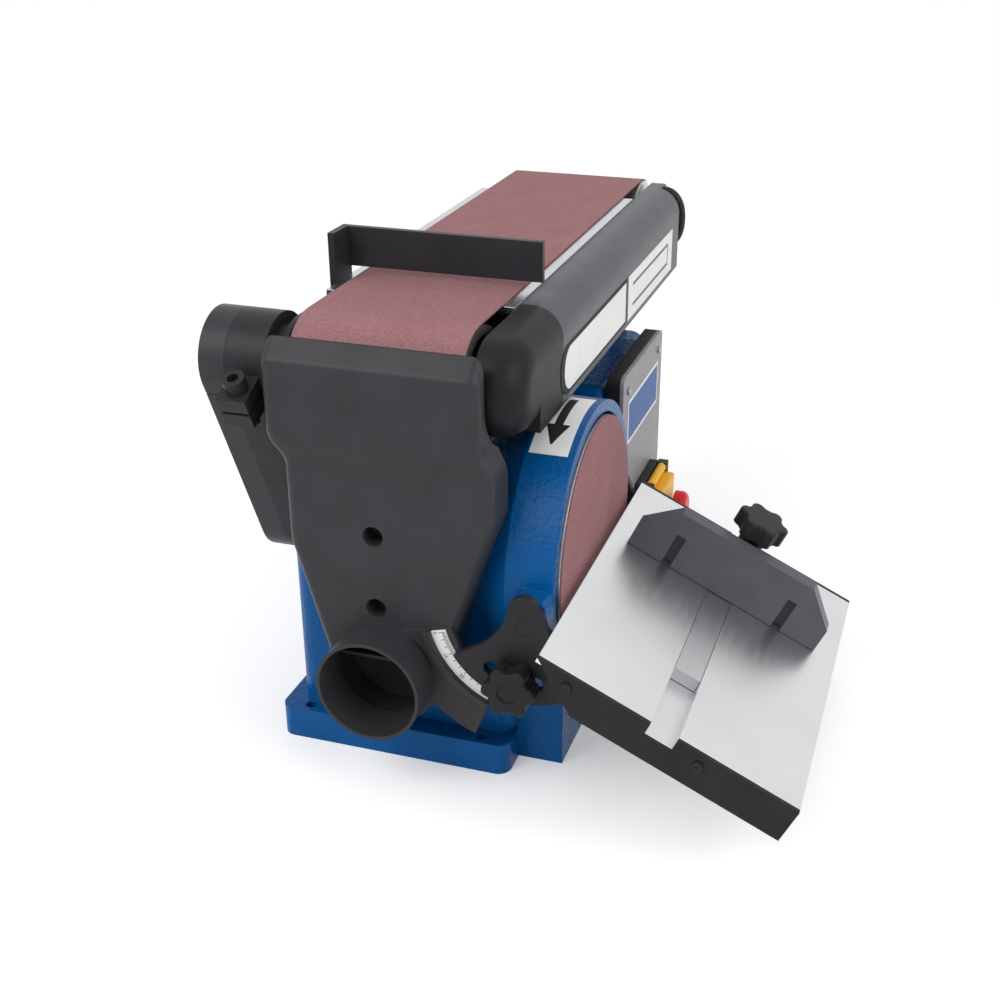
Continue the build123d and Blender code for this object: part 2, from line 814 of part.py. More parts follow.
tracking_knob_x = arm_side_x + tracking_knob_gap
with BuildPart() as idler_axle:
    with BuildSketch(yz(-arm_side_x)):
        disc(idler_axis, idler_axle_radius)
    extrude(amount=arm_side_x + tracking_knob_x + tracking_knob_length)
save(idler_axle, "idler_axle")

with BuildPart() as idler_drum:
    with BuildSketch(yz(-drum_length / 2)):
        ring(idler_axis, drum_radius, drum_radius - drum_wall)
    extrude(amount=drum_length)
    for web_x in (-drum_length / 2, drum_length / 2 - bearing_width):
        with BuildSketch(yz(web_x)):
            ring(idler_axis, drum_radius - drum_wall, idler_bearing_radius)
        extrude(amount=bearing_width)
save(idler_drum, "idler_drum")

with BuildPart() as idler_bearings:
    for bearing_x in (-drum_length / 2, drum_length / 2 - bearing_width):
        with BuildSketch(yz(bearing_x)):
            ring(idler_axis, idler_bearing_radius, idler_axle_radius + running_fit)
        extrude(amount=bearing_width)
save(idler_bearings, "idler_bearings")

with BuildPart() as tracking_knob:
    with BuildSketch(Plane(origin=(tracking_knob_x, idler_y, drum_z), x_dir=(0, 1, 0), z_dir=(1, 0, 0))) as outline:
        star(outline, tracking_knob_radius)
        Circle(idler_axle_radius + running_fit, mode=Mode.SUBTRACT)
    extrude(amount=tracking_knob_length)
    fillet(tracking_knob.faces().sort_by(Axis.X)[-1].outer_wire().edges(), radius=knob_edge)
save(tracking_knob, "tracking_knob")

with BuildPart() as tension_lever:
    with BuildSketch(yz(-arm_side_x - free_gap)):
        disc((lever_y, lever_z), lever_boss_radius)
        disc((lever_y + lever_length, lever_z), lever_boss_radius)
        with Locations((lever_y + lever_length / 2, lever_z)):
            Rectangle(lever_length, lever_boss_radius)
        with Locations((lever_y, lever_z)):
            Circle(lever_pin_radius + running_fit, mode=Mode.SUBTRACT)
    extrude(amount=-lever_thickness)
save(tension_lever, "tension_lever")

# Work stop: a bent plate screwed to the arm's left side, reaching across the belt
stop_left_x = -arm_side_x - stop_thickness
stop_bottom_z = belt_top_z + stop_gap
with BuildPart() as work_stop:
    with BuildSketch(Plane.XY.offset(stop_bottom_z)):
        with Locations((stop_left_x, stop_face_y)):
            Rectangle(stop_right_x - stop_left_x, stop_thickness, align=(Align.MIN, Align.MAX))
    extrude(amount=stop_height)
    with BuildSketch(yz(stop_left_x)):
        with Locations((stop_face_y, stop_bottom_z + stop_height)):
            Rectangle(stop_leg_width, stop_height + stop_gap + stop_leg_drop, align=(Align.MAX, Align.MAX))
        with Locations((stop_screw_axis[0], stop_screw_axis[1] - stop_travel / 2)):
            SlotCenterToCenter(stop_travel, 2 * (stop_screw_radius + free_gap), rotation=90, mode=Mode.SUBTRACT)
    extrude(amount=stop_thickness)
save(work_stop, "work_stop")

with BuildPart() as stop_screw:
    with BuildSketch(yz(-arm_side_x)):
        disc(stop_screw_axis, stop_screw_radius)
    extrude(amount=-stop_thickness - free_gap)
    with BuildSketch(yz(stop_left_x - free_gap)):
        disc(stop_screw_axis, 2 * stop_screw_radius)
    extrude(amount=-stop_screw_radius)
save(stop_screw, "stop_screw")

with BuildPart() as arm_rest:
    with BuildSketch(Plane.XY.offset(body_top_z)):
        with Locations((rest_right_x, rest_y)):
            Rectangle(rest_thickness, rest_length, align=(Align.MAX, Align.CENTER))
    extrude(amount=plate_bottom_z - body_top_z)
    with BuildSketch(Plane.XY.offset(body_top_z)):
        with Locations((rest_right_x, rest_y)):
            Rectangle(rest_foot, rest_length, align=(Align.MAX, Align.CENTER))
    extrude(amount=rest_thickness)
save(arm_rest, "arm_rest")


# Dust hood: a front outline that meets a side profile, hollowed by the same pair drawn smaller
def hood_front(sketch, inset):
    """Seen from the front: a box over a neck that leans right and narrows to the round port."""
    outline_face(
        (hood_left_x + inset, hood_top_z + inset),
        (hood_left_x + inset, hood_box_bottom_z),
        (hood_neck_left_x + inset, hood_neck_top_z),
        (hood_neck_left_x + inset, hood_taper_left_z),
        (port_x - hood_foot_radius + inset, port_z),
        (port_x + hood_foot_radius - inset, port_z),
        (hood_neck_right_x - inset, hood_taper_right_z),
        (hood_neck_right_x - inset, hood_neck_top_z),
        (hood_right_x - inset, hood_box_bottom_z),
        (hood_right_x - inset, hood_top_z + inset),
    )
    bends = sketch.vertices().filter_by_position(Axis.Y, hood_taper_left_z - hood_wall, hood_box_bottom_z + hood_wall)
    fillet(bends, radius=hood_curve)
    disc((port_x, port_z), hood_foot_radius - inset)


def hood_side(sketch, inset):
    """Seen from the side: a sloped lip, the box's flat front and a shallow step in to the neck."""
    outline_face(
        (hood_box_front_y + hood_lip_depth + 2 * inset, hood_top_z + inset),
        (hood_box_front_y + inset, hood_top_z - hood_lip_height),
        (hood_box_front_y + inset, hood_box_bottom_z),
        (hood_neck_front_y + inset, hood_neck_top_z),
        (hood_neck_front_y + inset, 0),
        (body_front_y - inset, 0),
        (body_front_y - inset, hood_top_z + inset),
    )
    step = sketch.vertices().filter_by_position(Axis.Y, hood_neck_top_z - hood_wall, hood_box_bottom_z + hood_wall)
    fillet(step, radius=hood_curve)
    lip_z = hood_top_z - hood_lip_height
    fillet(sketch.vertices().filter_by_position(Axis.Y, lip_z - hood_wall, lip_z + hood_wall), radius=hood_lip_curve)


def hood_corners(builder):
    """Edges above the port where the front meets the sides, and so not the ones that run across."""
    return builder.edges().filter_by(
        lambda edge: edge.center().Y < (body_front_y + hood_box_front_y) / 2
        and edge.center().Z > port_z
        and abs(edge.tangent_at(0.5).X) < 0.97
    )


with BuildPart() as hood_cavity:
    with BuildSketch(xz(body_front_y)) as front:
        hood_front(front, hood_wall)
    extrude(amount=body_front_y - hood_box_front_y)
    with BuildSketch(yz(hood_left_x)) as side:
        hood_side(side, hood_wall)
    extrude(amount=hood_neck_right_x - hood_left_x, mode=Mode.INTERSECT)
    fillet(hood_corners(hood_cavity), radius=hood_corner - hood_wall)

flange_front_y = hood_neck_front_y - 2 * free_gap
flange_inner_radius = scale_inner_radius - flange_rim_width
flange_rim_radius = scale_outer_radius + flange_rim_width
with BuildPart() as dust_hood:
    with BuildSketch(xz(body_front_y)) as front:
        hood_front(front, 0)
    extrude(amount=body_front_y - hood_box_front_y)
    with BuildSketch(yz(hood_left_x)) as side:
        hood_side(side, 0)
    extrude(amount=hood_neck_right_x - hood_left_x, mode=Mode.INTERSECT)
    fillet(hood_corners(dust_hood), radius=hood_corner)
    with BuildSketch(pivot_front(flange_front_y + flange_thickness)):
        ring_sector(flange_inner_radius, flange_outer_radius, flange_start_angle, flange_end_angle)
    extrude(amount=flange_thickness)
    with BuildSketch(pivot_front(flange_front_y)):
        ring_sector(scale_outer_radius, flange_rim_radius, flange_start_angle, flange_end_angle)
    extrude(amount=flange_rim_height)
    add(hood_cavity.part, mode=Mode.SUBTRACT)
    with BuildSketch(yz(hood_left_x)):
        disc(drum_axis, hood_swing_radius)
        with Locations((drum_y - hood_swing_radius, drum_z)):
            Rectangle(4 * hood_swing_radius, 4 * hood_swing_radius, align=(Align.MIN, Align.MIN))
    extrude(amount=hood_neck_right_x - hood_left_x, mode=Mode.SUBTRACT)
    with BuildSketch(xz(body_front_y)):
        for screw_z in hood_screw_heights:
            disc((hood_screw_x, screw_z), hood_post_radius)
    extrude(amount=body_front_y - hood_neck_front_y)
    with BuildSketch(xz(body_front_y)):
        for screw_z in hood_screw_heights:
            disc((hood_screw_x, screw_z), hood_screw_radius)
    extrude(amount=body_front_y - hood_neck_front_y, mode=Mode.SUBTRACT)
    with BuildSketch(xz(hood_neck_front_y)):
        for screw_z in hood_screw_heights:
            disc((hood_screw_x, screw_z), hood_counterbore_radius)
    extrude(amount=-hood_counterbore_depth, mode=Mode.SUBTRACT)
    with BuildSketch(xz(hood_neck_front_y + hood_wall)):
        disc((port_x, port_z), port_outer_radius)
    extrude(amount=hood_neck_front_y + hood_wall - port_front_y)
    with BuildSketch(xz(hood_neck_front_y + hood_wall)):
        disc((port_x, port_z), port_bore_radius)
    extrude(amount=hood_neck_front_y + hood_wall - port_front_y, mode=Mode.SUBTRACT)
    with BuildSketch(xz(hood_neck_front_y + hood_wall)):
        with Locations((port_x, port_z + port_divider_rise)):
            Rectangle(2 * hood_foot_radius, port_divider_thickness)
    extrude(amount=-port_divider_length)
    add(housing.part, mode=Mode.SUBTRACT)
save(dust_hood, "dust_hood")

with BuildPart() as hood_screws:
    head_back_y = hood_neck_front_y + hood_counterbore_depth
    with BuildSketch(xz(head_back_y)):
        for screw_z in hood_screw_heights:
            disc((hood_screw_x, screw_z), hood_screw_head_radius)
    extrude(amount=hood_screw_head_height)
    with BuildSketch(xz(body_front_y + body_wall)):
        for screw_z in hood_screw_heights:
            disc((hood_screw_x, screw_z), hood_screw_radius)
    extrude(amount=body_front_y + body_wall - head_back_y)
save(hood_screws, "hood_screws")

with BuildPart() as tilt_scale:
    with BuildSketch(pivot_front(flange_front_y)):
        ring_sector(scale_inner_radius, scale_outer_radius, scale_start_angle, scale_end_angle)
    extrude(amount=scale_thickness)
save(tilt_scale, "tilt_scale")

# Tilting table on two trunnions
with BuildPart() as pivot_pins:
    with BuildSketch(xz(guard_front_y + pivot_pin_depth)):
        disc(pivot_axis, pivot_pin_radius)
    extrude(amount=guard_front_y + pivot_pin_depth - trunnion_front_y)
    with BuildSketch(xz(guard_rear_y - pivot_pin_depth)):
        disc(pivot_axis, pivot_pin_radius)
    extrude(amount=-pivot_pin_depth - trunnion_thickness - free_gap)
save(pivot_pins, "pivot_pins")

with BuildPart() as lock_stud:
    with BuildSketch(xz(guard_front_y + pivot_pin_depth)):
        disc(stud_axis, lock_stud_radius)
    extrude(amount=guard_front_y + pivot_pin_depth - trunnion_front_y + knob_hub_length + knob_thickness / 2)
save(lock_stud, "lock_stud")

with BuildPart() as table_top:
    with BuildSketch(on_table(table_under_n)):
        with Locations((table_inner, 0)):
            Rectangle(table_width, table_length, align=(Align.MIN, Align.MIN))
    extrude(amount=table_plate)
    with BuildSketch(on_table(channel_n)):
        with Locations((slot_w, 0)):
            Rectangle(mitre_slot_width + 2 * mitre_channel_wall, table_length, align=(Align.CENTER, Align.MIN))
    extrude(amount=table_under_n - channel_n)
    with BuildSketch(on_table(table_skirt_n)):
        with Locations((table_inner + table_width, 0)):
            Rectangle(table_skirt_thickness, table_length, align=(Align.MAX, Align.MIN))
    extrude(amount=table_under_n - table_skirt_n)
    with BuildSketch(on_table(channel_n)):
        for screw_inset in table_screw_insets:
            with Locations((table_inner + screw_inset, 0)):
                Rectangle(table_lug, table_lug_depth, align=(Align.CENTER, Align.MIN))
            with Locations((table_inner + screw_inset, table_length)):
                Rectangle(table_lug, table_lug_depth, align=(Align.CENTER, Align.MAX))
    extrude(amount=table_under_n - channel_n)
    with BuildSketch(on_table(slot_floor_n)):
        with Locations((slot_w, 0)):
            Rectangle(mitre_slot_width, table_length, align=(Align.CENTER, Align.MIN))
    extrude(amount=mitre_slot_depth, mode=Mode.SUBTRACT)
save(table_top, "table_top")

with BuildPart() as table_end_caps:
    for cap_y in (table_near_y, table_far_y + end_cap_thickness):
        with BuildSketch(table_end(cap_y)):
            outline_face(
                (table_inner, table_top_n),
                (table_inner + table_width, table_top_n),
                (table_inner + table_width, table_skirt_n),
                (table_inner + end_cap_slope, table_skirt_n),
            )
            with Locations((slot_w, slot_floor_n)):
                Rectangle(mitre_slot_width, table_skirt, align=(Align.CENTER, Align.MIN), mode=Mode.SUBTRACT)
        extrude(amount=end_cap_thickness)
save(table_end_caps, "table_end_caps")

with BuildPart() as table_screws:
    for head_y in (table_near_y - end_cap_thickness, table_far_y + end_cap_thickness + table_screw_head):
        with BuildSketch(table_end(head_y)):
            for screw_inset in table_screw_insets:
                disc((table_inner + screw_inset, table_screw_n), table_screw_radius)
        extrude(amount=table_screw_head)
save(table_screws, "table_screws")


def trunnion_web():
    """Hub round the pivot and the web that carries the table's underside."""
    two_circle_hull((0, 0), pivot_lobe_radius, trunnion_crown, trunnion_crown_radius)
    outline_face(
        (0, pivot_lobe_radius),
        (table_inner, table_under_n),
        (trunnion_foot, table_under_n),
        (trunnion_foot, channel_n),
        (trunnion_waist, -trunnion_waist_drop),
        (0, -pivot_lobe_radius),
    )


def trunnion_flare_face():
    """The hollow curve that leaves the pointer's edge and runs up to the crown's side."""
    crown_side = atan2(trunnion_crown[1], trunnion_crown[0]) + pi / 2
    pointer = radians(pointer_angle)
    tip = (trunnion_flare * cos(pointer), trunnion_flare * sin(pointer))
    with BuildLine() as outline:
        curve = TangentArc(
            tip,
            (
                trunnion_crown[0] + trunnion_crown_radius * cos(crown_side),
                trunnion_crown[1] + trunnion_crown_radius * sin(crown_side),
            ),
            tangent=(-tip[0], -tip[1]),
        )
        Polyline(curve @ 1, (0, 0), (0, -pivot_lobe_radius), tip)
    make_face(outline.edges())


with BuildPart() as trunnion_front:
    with BuildSketch(table_end(trunnion_back_y)):
        trunnion_web()
        trunnion_flare_face()
        ring_sector(pivot_lobe_radius / 2, trunnion_radius, pointer_angle, sector_end_angle)
        slot_half = lock_stud_radius + free_gap
        ring_sector(
            lock_slot_radius - slot_half, lock_slot_radius + slot_half,
            lock_angle, lock_angle + tilt_range, mode=Mode.SUBTRACT,
        )
        with PolarLocations(lock_slot_radius, 2, start_angle=lock_angle, angular_range=tilt_range, endpoint=True):
            Circle(slot_half, mode=Mode.SUBTRACT)
        Circle(pivot_pin_radius + running_fit, mode=Mode.SUBTRACT)
    extrude(amount=trunnion_thickness)
save(trunnion_front, "trunnion_front")

with BuildPart() as trunnion_rear:
    with BuildSketch(table_end(guard_rear_y + free_gap + trunnion_thickness)):
        trunnion_web()
        Circle(pivot_pin_radius + running_fit, mode=Mode.SUBTRACT)
    extrude(amount=trunnion_thickness)
save(trunnion_rear, "trunnion_rear")

knob_back_y = trunnion_front_y - free_gap
with BuildPart() as lock_knob:
    with BuildSketch(Plane(origin=(stud_axis[0], knob_back_y, stud_axis[1]), x_dir=(1, 0, 0), z_dir=(0, -1, 0))):
        Circle(knob_hub_radius)
    extrude(amount=knob_hub_length)
    knob_face = lock_knob.faces().sort_by(Axis.Y)[0]
    with BuildSketch(Plane(origin=knob_face.center(), x_dir=(1, 0, 0), z_dir=(0, -1, 0))) as outline:
        star(outline, knob_radius)
    extrude(amount=knob_thickness)
    knob_front = lock_knob.faces().sort_by(Axis.Y)[0]
    fillet(knob_front.edges(), radius=knob_edge)
    with BuildSketch(Plane(origin=knob_front.center(), x_dir=(1, 0, 0), z_dir=(0, -1, 0))):
        Circle(knob_dish_radius)
    extrude(amount=-knob_dish_depth, mode=Mode.SUBTRACT)
    with BuildSketch(Plane(origin=(stud_axis[0], knob_back_y, stud_axis[1]), x_dir=(1, 0, 0), z_dir=(0, -1, 0))):
        Circle(lock_stud_radius + running_fit)
    extrude(amount=knob_hub_length + knob_thickness / 2, mode=Mode.SUBTRACT)
save(lock_knob, "lock_knob")

# Mitre gauge in the table's slot
with BuildPart() as mitre_bar:
    with BuildSketch(on_table(slot_floor_n + free_gap)):
        with Locations((slot_w, mitre_bar_near)):
            Rectangle(mitre_bar_width, mitre_bar_far - mitre_bar_near, align=(Align.CENTER, Align.MIN))
    extrude(amount=mitre_bar_height)
    with BuildSketch(on_table(slot_floor_n + free_gap)):
        disc((slot_w, mitre_pivot_l), mitre_stud_radius)
    extrude(amount=mitre_knob_n + mitre_knob_rise + knob_thickness / 2 - slot_floor_n - free_gap)
save(mitre_bar, "mitre_bar")

mitre_back_l = mitre_pivot_l - mitre_pivot_back
with BuildPart() as mitre_head:
    with BuildSketch(on_table(mitre_foot_n)):
        disc((slot_w, mitre_back_l), mitre_base_radius)
        with Locations((slot_w, mitre_back_l)):
            Rectangle(
                2 * mitre_base_radius, mitre_base_radius,
                align=(Align.CENTER, Align.MAX), mode=Mode.SUBTRACT,
            )
        with Locations((slot_w, mitre_pivot_l)):
            Circle(mitre_stud_radius + running_fit, mode=Mode.SUBTRACT)
    extrude(amount=mitre_base_thickness)
    half_width = mitre_head_width / 2
    with BuildSketch(table_end(table_near_y + mitre_back_l)):
        outline_face(
            (slot_w - half_width, mitre_foot_n),
            (slot_w - half_width, mitre_foot_n + mitre_head_height - mitre_head_corner),
            (slot_w - half_width + mitre_head_corner, mitre_foot_n + mitre_head_height),
            (slot_w + half_width - mitre_head_corner, mitre_foot_n + mitre_head_height),
            (slot_w + half_width, mitre_foot_n + mitre_head_height - mitre_head_corner),
            (slot_w + half_width, mitre_foot_n),
        )
    extrude(amount=mitre_head_thickness)
    with BuildSketch(table_end(table_near_y + mitre_back_l - mitre_head_thickness)):
        with Locations((slot_w, mitre_foot_n)):
            with GridLocations(2 * mitre_slot_offset, 0, 2, 1):
                Rectangle(mitre_face_slot_width, mitre_face_slot_height, align=(Align.CENTER, Align.MIN))
    extrude(amount=-mitre_face_slot_depth, mode=Mode.SUBTRACT)
save(mitre_head, "mitre_head")

with BuildPart() as mitre_scale:
    scale_base = table_plane.from_local_coords((slot_w, mitre_back_l, mitre_base_top_n))
    with BuildSketch(Plane(origin=scale_base, x_dir=across_table, z_dir=table_plane.z_dir)):
        ring_sector(mitre_scale_inner, mitre_scale_outer, mitre_scale_start_angle, mitre_scale_end_angle)
    extrude(amount=scale_thickness)
save(mitre_scale, "mitre_scale")

with BuildPart() as mitre_knob:
    knob_base = table_plane.from_local_coords((slot_w, mitre_pivot_l, mitre_knob_n))
    knob_plane = Plane(origin=knob_base, x_dir=across_table, z_dir=table_plane.z_dir)
    with BuildSketch(knob_plane):
        Circle(mitre_knob_hub_radius)
    extrude(amount=mitre_knob_rise)
    with BuildSketch(knob_plane.offset(mitre_knob_rise)) as outline:
        star(outline, mitre_knob_radius)
    extrude(amount=knob_thickness)
    fillet(mitre_knob.faces().sort_by(Axis(knob_base, knob_plane.z_dir))[-1].edges(), radius=knob_edge)
    with BuildSketch(knob_plane):
        Circle(mitre_stud_radius + running_fit)
    extrude(amount=mitre_knob_rise + knob_thickness / 2, mode=Mode.SUBTRACT)
save(mitre_knob, "mitre_knob")

# Switch on the right, behind the disc
with BuildPart() as switch_box:
    with BuildSketch(yz(pad_face_x)):
        with Locations((switch_box_y, switch_box_z)):
            RectangleRounded(switch_box_width, switch_box_height, body_wall)
    extrude(amount=switch_box_face_x - pad_face_x)
    with BuildSketch(yz(pad_face_x + switch_box_wall)):
        with Locations((switch_box_y, switch_box_z)):
            Rectangle(switch_box_width - 2 * body_wall, switch_box_height - 2 * body_wall)
    extrude(amount=switch_box_face_x - pad_face_x - switch_box_wall, mode=Mode.SUBTRACT)
save(switch_box, "switch_box")

plate_slot_z = switch_box_top_z - plate_slot_inset
plate_slot_ys = (switch_box_near_y + plate_slot_inset, switch_box_far_y - plate_slot_inset)
with BuildPart() as switch_plate:
    with BuildSketch(yz(switch_box_face_x)):
        with Locations((switch_box_y, switch_box_z)):
            RectangleRounded(switch_box_width, switch_box_height, body_wall)
    extrude(amount=switch_plate_thickness)
save(switch_plate, "switch_plate")

with BuildPart() as plate_screws:
    with BuildSketch(yz(switch_face_x)):
        for slot_y in plate_slot_ys:
            disc((slot_y, plate_slot_z), plate_screw_radius)
    extrude(amount=plate_screw_head)
save(plate_screws, "plate_screws")

with BuildPart() as switch_base:
    with BuildSketch(yz(switch_face_x)):
        with Locations((switch_y, (switch_bottom_z + switch_top_z) / 2)):
            RectangleRounded(switch_width, switch_top_z - switch_bottom_z, flap_lug_size / 2)
        with Locations((switch_y, stop_button_z)):
            Circle(start_button_radius + running_fit, mode=Mode.SUBTRACT)
    extrude(amount=switch_frame_depth)
    with BuildSketch(yz(switch_front_x)):
        for side in (-1, 1):
            with Locations((switch_y + side * (switch_width - flap_lug_size) / 2, switch_top_z)):
                Rectangle(flap_lug_size - 2 * free_gap, 3 * flap_barrel_radius, align=(Align.CENTER, Align.MAX))
    extrude(amount=flap_lug_size)
    with BuildSketch(xz(switch_y - switch_width / 2)):
        disc(flap_pin_axis, flap_pin_radius)
    extrude(amount=-switch_width, mode=Mode.SUBTRACT)
save(switch_base, "switch_base")

with BuildPart() as flap_pin:
    with BuildSketch(xz(switch_y - switch_width / 2)):
        disc(flap_pin_axis, flap_pin_radius)
    extrude(amount=-switch_width)
save(flap_pin, "flap_pin")

with BuildPart() as stop_flap:
    with BuildSketch(yz(flap_back_x)):
        with Locations((switch_y, (flap_bottom_z + flap_top_z) / 2)):
            Rectangle(flap_width, flap_top_z - flap_bottom_z)
    extrude(amount=flap_depth)
    fillet(stop_flap.faces().sort_by(Axis.X)[-1].edges(), radius=flap_wall)
    with BuildSketch(yz(flap_back_x)):
        with Locations((switch_y, (flap_bottom_z + flap_top_z) / 2)):
            Rectangle(flap_width - 2 * flap_wall, flap_top_z - flap_bottom_z - 2 * flap_wall)
    extrude(amount=flap_depth - flap_wall, mode=Mode.SUBTRACT)
    with BuildSketch(xz(switch_y + flap_width / 2)):
        disc(flap_pin_axis, flap_barrel_radius)
        with Locations((flap_pin_axis[0], flap_pin_axis[1])):
            Rectangle(2 * flap_pin_radius, 2 * flap_barrel_radius, align=(Align.CENTER, Align.MAX))
    extrude(amount=flap_width)
    with BuildSketch(xz(switch_y + flap_width / 2)):
        disc(flap_pin_axis, flap_pin_radius + running_fit)
    extrude(amount=flap_width, mode=Mode.SUBTRACT)
    with BuildSketch(yz(flap_back_x)):
        disc((switch_y, stop_button_z), stop_button_radius + running_fit)
    extrude(amount=flap_depth, mode=Mode.SUBTRACT)
save(stop_flap, "stop_flap")

mushroom_back_x = flap_front_x + stop_button_travel + free_gap
with BuildPart() as stop_button:
    with BuildSketch(yz(flap_front_x - flap_wall - free_gap)):
        disc((switch_y, stop_button_z), stop_button_radius)
    extrude(amount=flap_wall + stop_button_travel + 2 * free_gap)
    with BuildSketch(yz(mushroom_back_x)):
        disc((switch_y, stop_button_z), mushroom_radius)
    extrude(amount=mushroom_thickness)
    fillet(stop_button.faces().sort_by(Axis.X)[-1].edges(), radius=mushroom_thickness / 2)
save(stop_button, "stop_button")

with BuildPart() as start_button:
    with BuildSketch(yz(switch_face_x + start_button_travel + free_gap)):
        disc((switch_y, stop_button_z), start_button_radius)
    extrude(amount=switch_frame_depth)
save(start_button, "start_button")
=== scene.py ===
"""Finishes, plates, scales and studio for the belt and disc sander."""
import json
from math import cos, pi, radians, sin

import bmesh
import bpy
from mathutils import Matrix, Vector


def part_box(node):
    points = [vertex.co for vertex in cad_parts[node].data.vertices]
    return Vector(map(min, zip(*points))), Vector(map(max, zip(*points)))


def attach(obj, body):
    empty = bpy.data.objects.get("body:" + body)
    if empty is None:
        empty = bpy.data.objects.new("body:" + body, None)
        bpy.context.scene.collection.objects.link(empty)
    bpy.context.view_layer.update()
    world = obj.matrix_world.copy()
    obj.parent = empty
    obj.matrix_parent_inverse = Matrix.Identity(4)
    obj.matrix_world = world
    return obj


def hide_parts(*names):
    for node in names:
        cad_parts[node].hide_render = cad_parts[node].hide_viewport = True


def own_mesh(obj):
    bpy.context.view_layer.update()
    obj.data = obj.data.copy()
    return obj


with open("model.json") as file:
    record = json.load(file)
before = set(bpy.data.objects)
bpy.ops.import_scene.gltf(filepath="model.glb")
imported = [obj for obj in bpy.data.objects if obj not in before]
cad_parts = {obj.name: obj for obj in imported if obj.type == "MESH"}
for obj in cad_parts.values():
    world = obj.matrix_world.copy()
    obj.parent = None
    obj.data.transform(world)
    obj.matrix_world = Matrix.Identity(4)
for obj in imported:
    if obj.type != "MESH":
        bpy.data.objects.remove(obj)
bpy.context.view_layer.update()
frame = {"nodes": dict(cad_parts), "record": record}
MM = 0.001

# Faces and axes of the machine that the added pieces follow, in millimetres
DISC_AXIS = (-90.0, 120.0)
GUARD_RADIUS = 84.0
SHIELD_FACE_X = 82.0
SHIELD_CAP_END = -97.0
SWITCH_FACE_X = 93.5
TABLE_PIVOT = (90.0, 114.2)
TABLE_TILT = radians(25.24)
TABLE_NEAR_Y = -220.0
TABLE_TOP = 9.2
TABLE_SCREWS_ACROSS = (34.6, 113.2)
TABLE_SCREW_HEIGHT = 1.8
GAUGE_CENTRE = (89.5, 157.0)
GAUGE_GAP = 0.3
GAUGE_BASE_THICKNESS = 8.0
SCALE_THICKNESS = 0.6
GAUGE_SCALE_TOP = TABLE_TOP + GAUGE_GAP + GAUGE_BASE_THICKNESS + SCALE_THICKNESS

# How far plates and ink stand out of what carries them
PLATE_LIFT = 0.35
INK_LIFT = 0.06

# Plates, labels and lines, each by its near end, far end, bottom and top
NEAR_PLATE_BORDER = (-102, 48, 210, 240)
NEAR_BORDER_ROUND = 14
NEAR_PLATE_PANEL = (-95, 45, 212, 238)
NEAR_PANEL_ROUND = 12.5
ROUND_STEPS = 10
FAR_PLATE = (52, 182, 210, 240)
FAR_PLATE_LINES = ((64, 168, 217, 219), (64, 168, 231, 233), (166, 168, 219, 231))
SWITCH_LABEL_BORDER = (14, 98, 138, 168)
SWITCH_LABEL_FIELD = (16, 96, 140, 166)

# Sign on the guard's rim: angles round the disc's axis in degrees, and places along that axis
SIGN_START, SIGN_END = 80.0, 122.0
SIGN_EDGES = (73.5, 96.0)
SIGN_STEPS = 18
ARROW_START, ARROW_NECK, ARROW_TIP = 84, 106, 117
ARROW_MIDDLE = 84.5
ARROW_SHAFT_HALF = 2.6
ARROW_HEAD_HALF = 7.0
ARROW_SHAFT_STEPS = 8
ARROW_HEAD_STEPS = 6
ARROW_BLUNT_STEPS = 0.5

# Scales
TILT_SCALE_RADII = (50.0, 59.0)
TILT_ZERO_ANGLE = 196.5
TILT_DEGREES = 45
TILT_LONG_TICK, TILT_SHORT_TICK = 4.2, 2.4
TILT_TICK_WIDTH = 0.35
TILT_FIGURE_SIZE = 3.0
TILT_FIGURE_INSET = 2.2
GAUGE_SCALE_RADII = (30.0, 40.0)
GAUGE_SQUARE_ANGLE = 90
GAUGE_DEGREES = 70
GAUGE_LONG_TICK, GAUGE_SHORT_TICK = 4.0, 2.4
GAUGE_TICK_WIDTH = 0.4
GAUGE_FIGURE_SIZE = 3.2
GAUGE_FIGURE_INSET = 2.6
TICK_MARGIN = 0.4

# Screw crosses, painted as recess shade, and the tension spring's coil
CROSS_SIZE = 4.0
SPRING_WIRE = 2.5
SPRING_TURNS = 7
SPRING_STEPS = 24
SPRING_SIDES = 10

# Light, and the camera that matches the photograph, in metres and radians
SURROUND_LIGHT = 0.62
LOW_SHEEN = 0.14
FLOOR_REACH = 4
FLOOR_FADE_START, FLOOR_FADE_END = 0.45, 1.1
CAMERA_SENSOR = 36.0
CAMERA_LENS = 50.907
CAMERA_SHIFT = (-0.0282, -0.0017)
CAMERA_PLACE = (0.293639, -0.819903, 0.502671)
CAMERA_DIP = 0.440783
CAMERA_TURN = 0.311105


class Signal:
    """A shader socket that takes part in Python sums: each sum adds a Math node."""

    def __init__(self, finish, socket):
        self.finish = finish
        self.socket = socket

    def maths(self, operation, *values):
        return self.finish.node("ShaderNodeMath", {"operation": operation}, dict(enumerate(values)))

    def __add__(self, other):
        return self.maths("ADD", self, other)

    def __sub__(self, other):
        return self.maths("SUBTRACT", self, other)

    def __rsub__(self, other):
        return self.maths("SUBTRACT", other, self)

    def __mul__(self, other):
        return self.maths("MULTIPLY", self, other)

    def __lt__(self, other):
        return self.maths("LESS_THAN", self, other)

    def __gt__(self, other):
        return self.maths("GREATER_THAN", self, other)

    __radd__ = __add__
    __rmul__ = __mul__


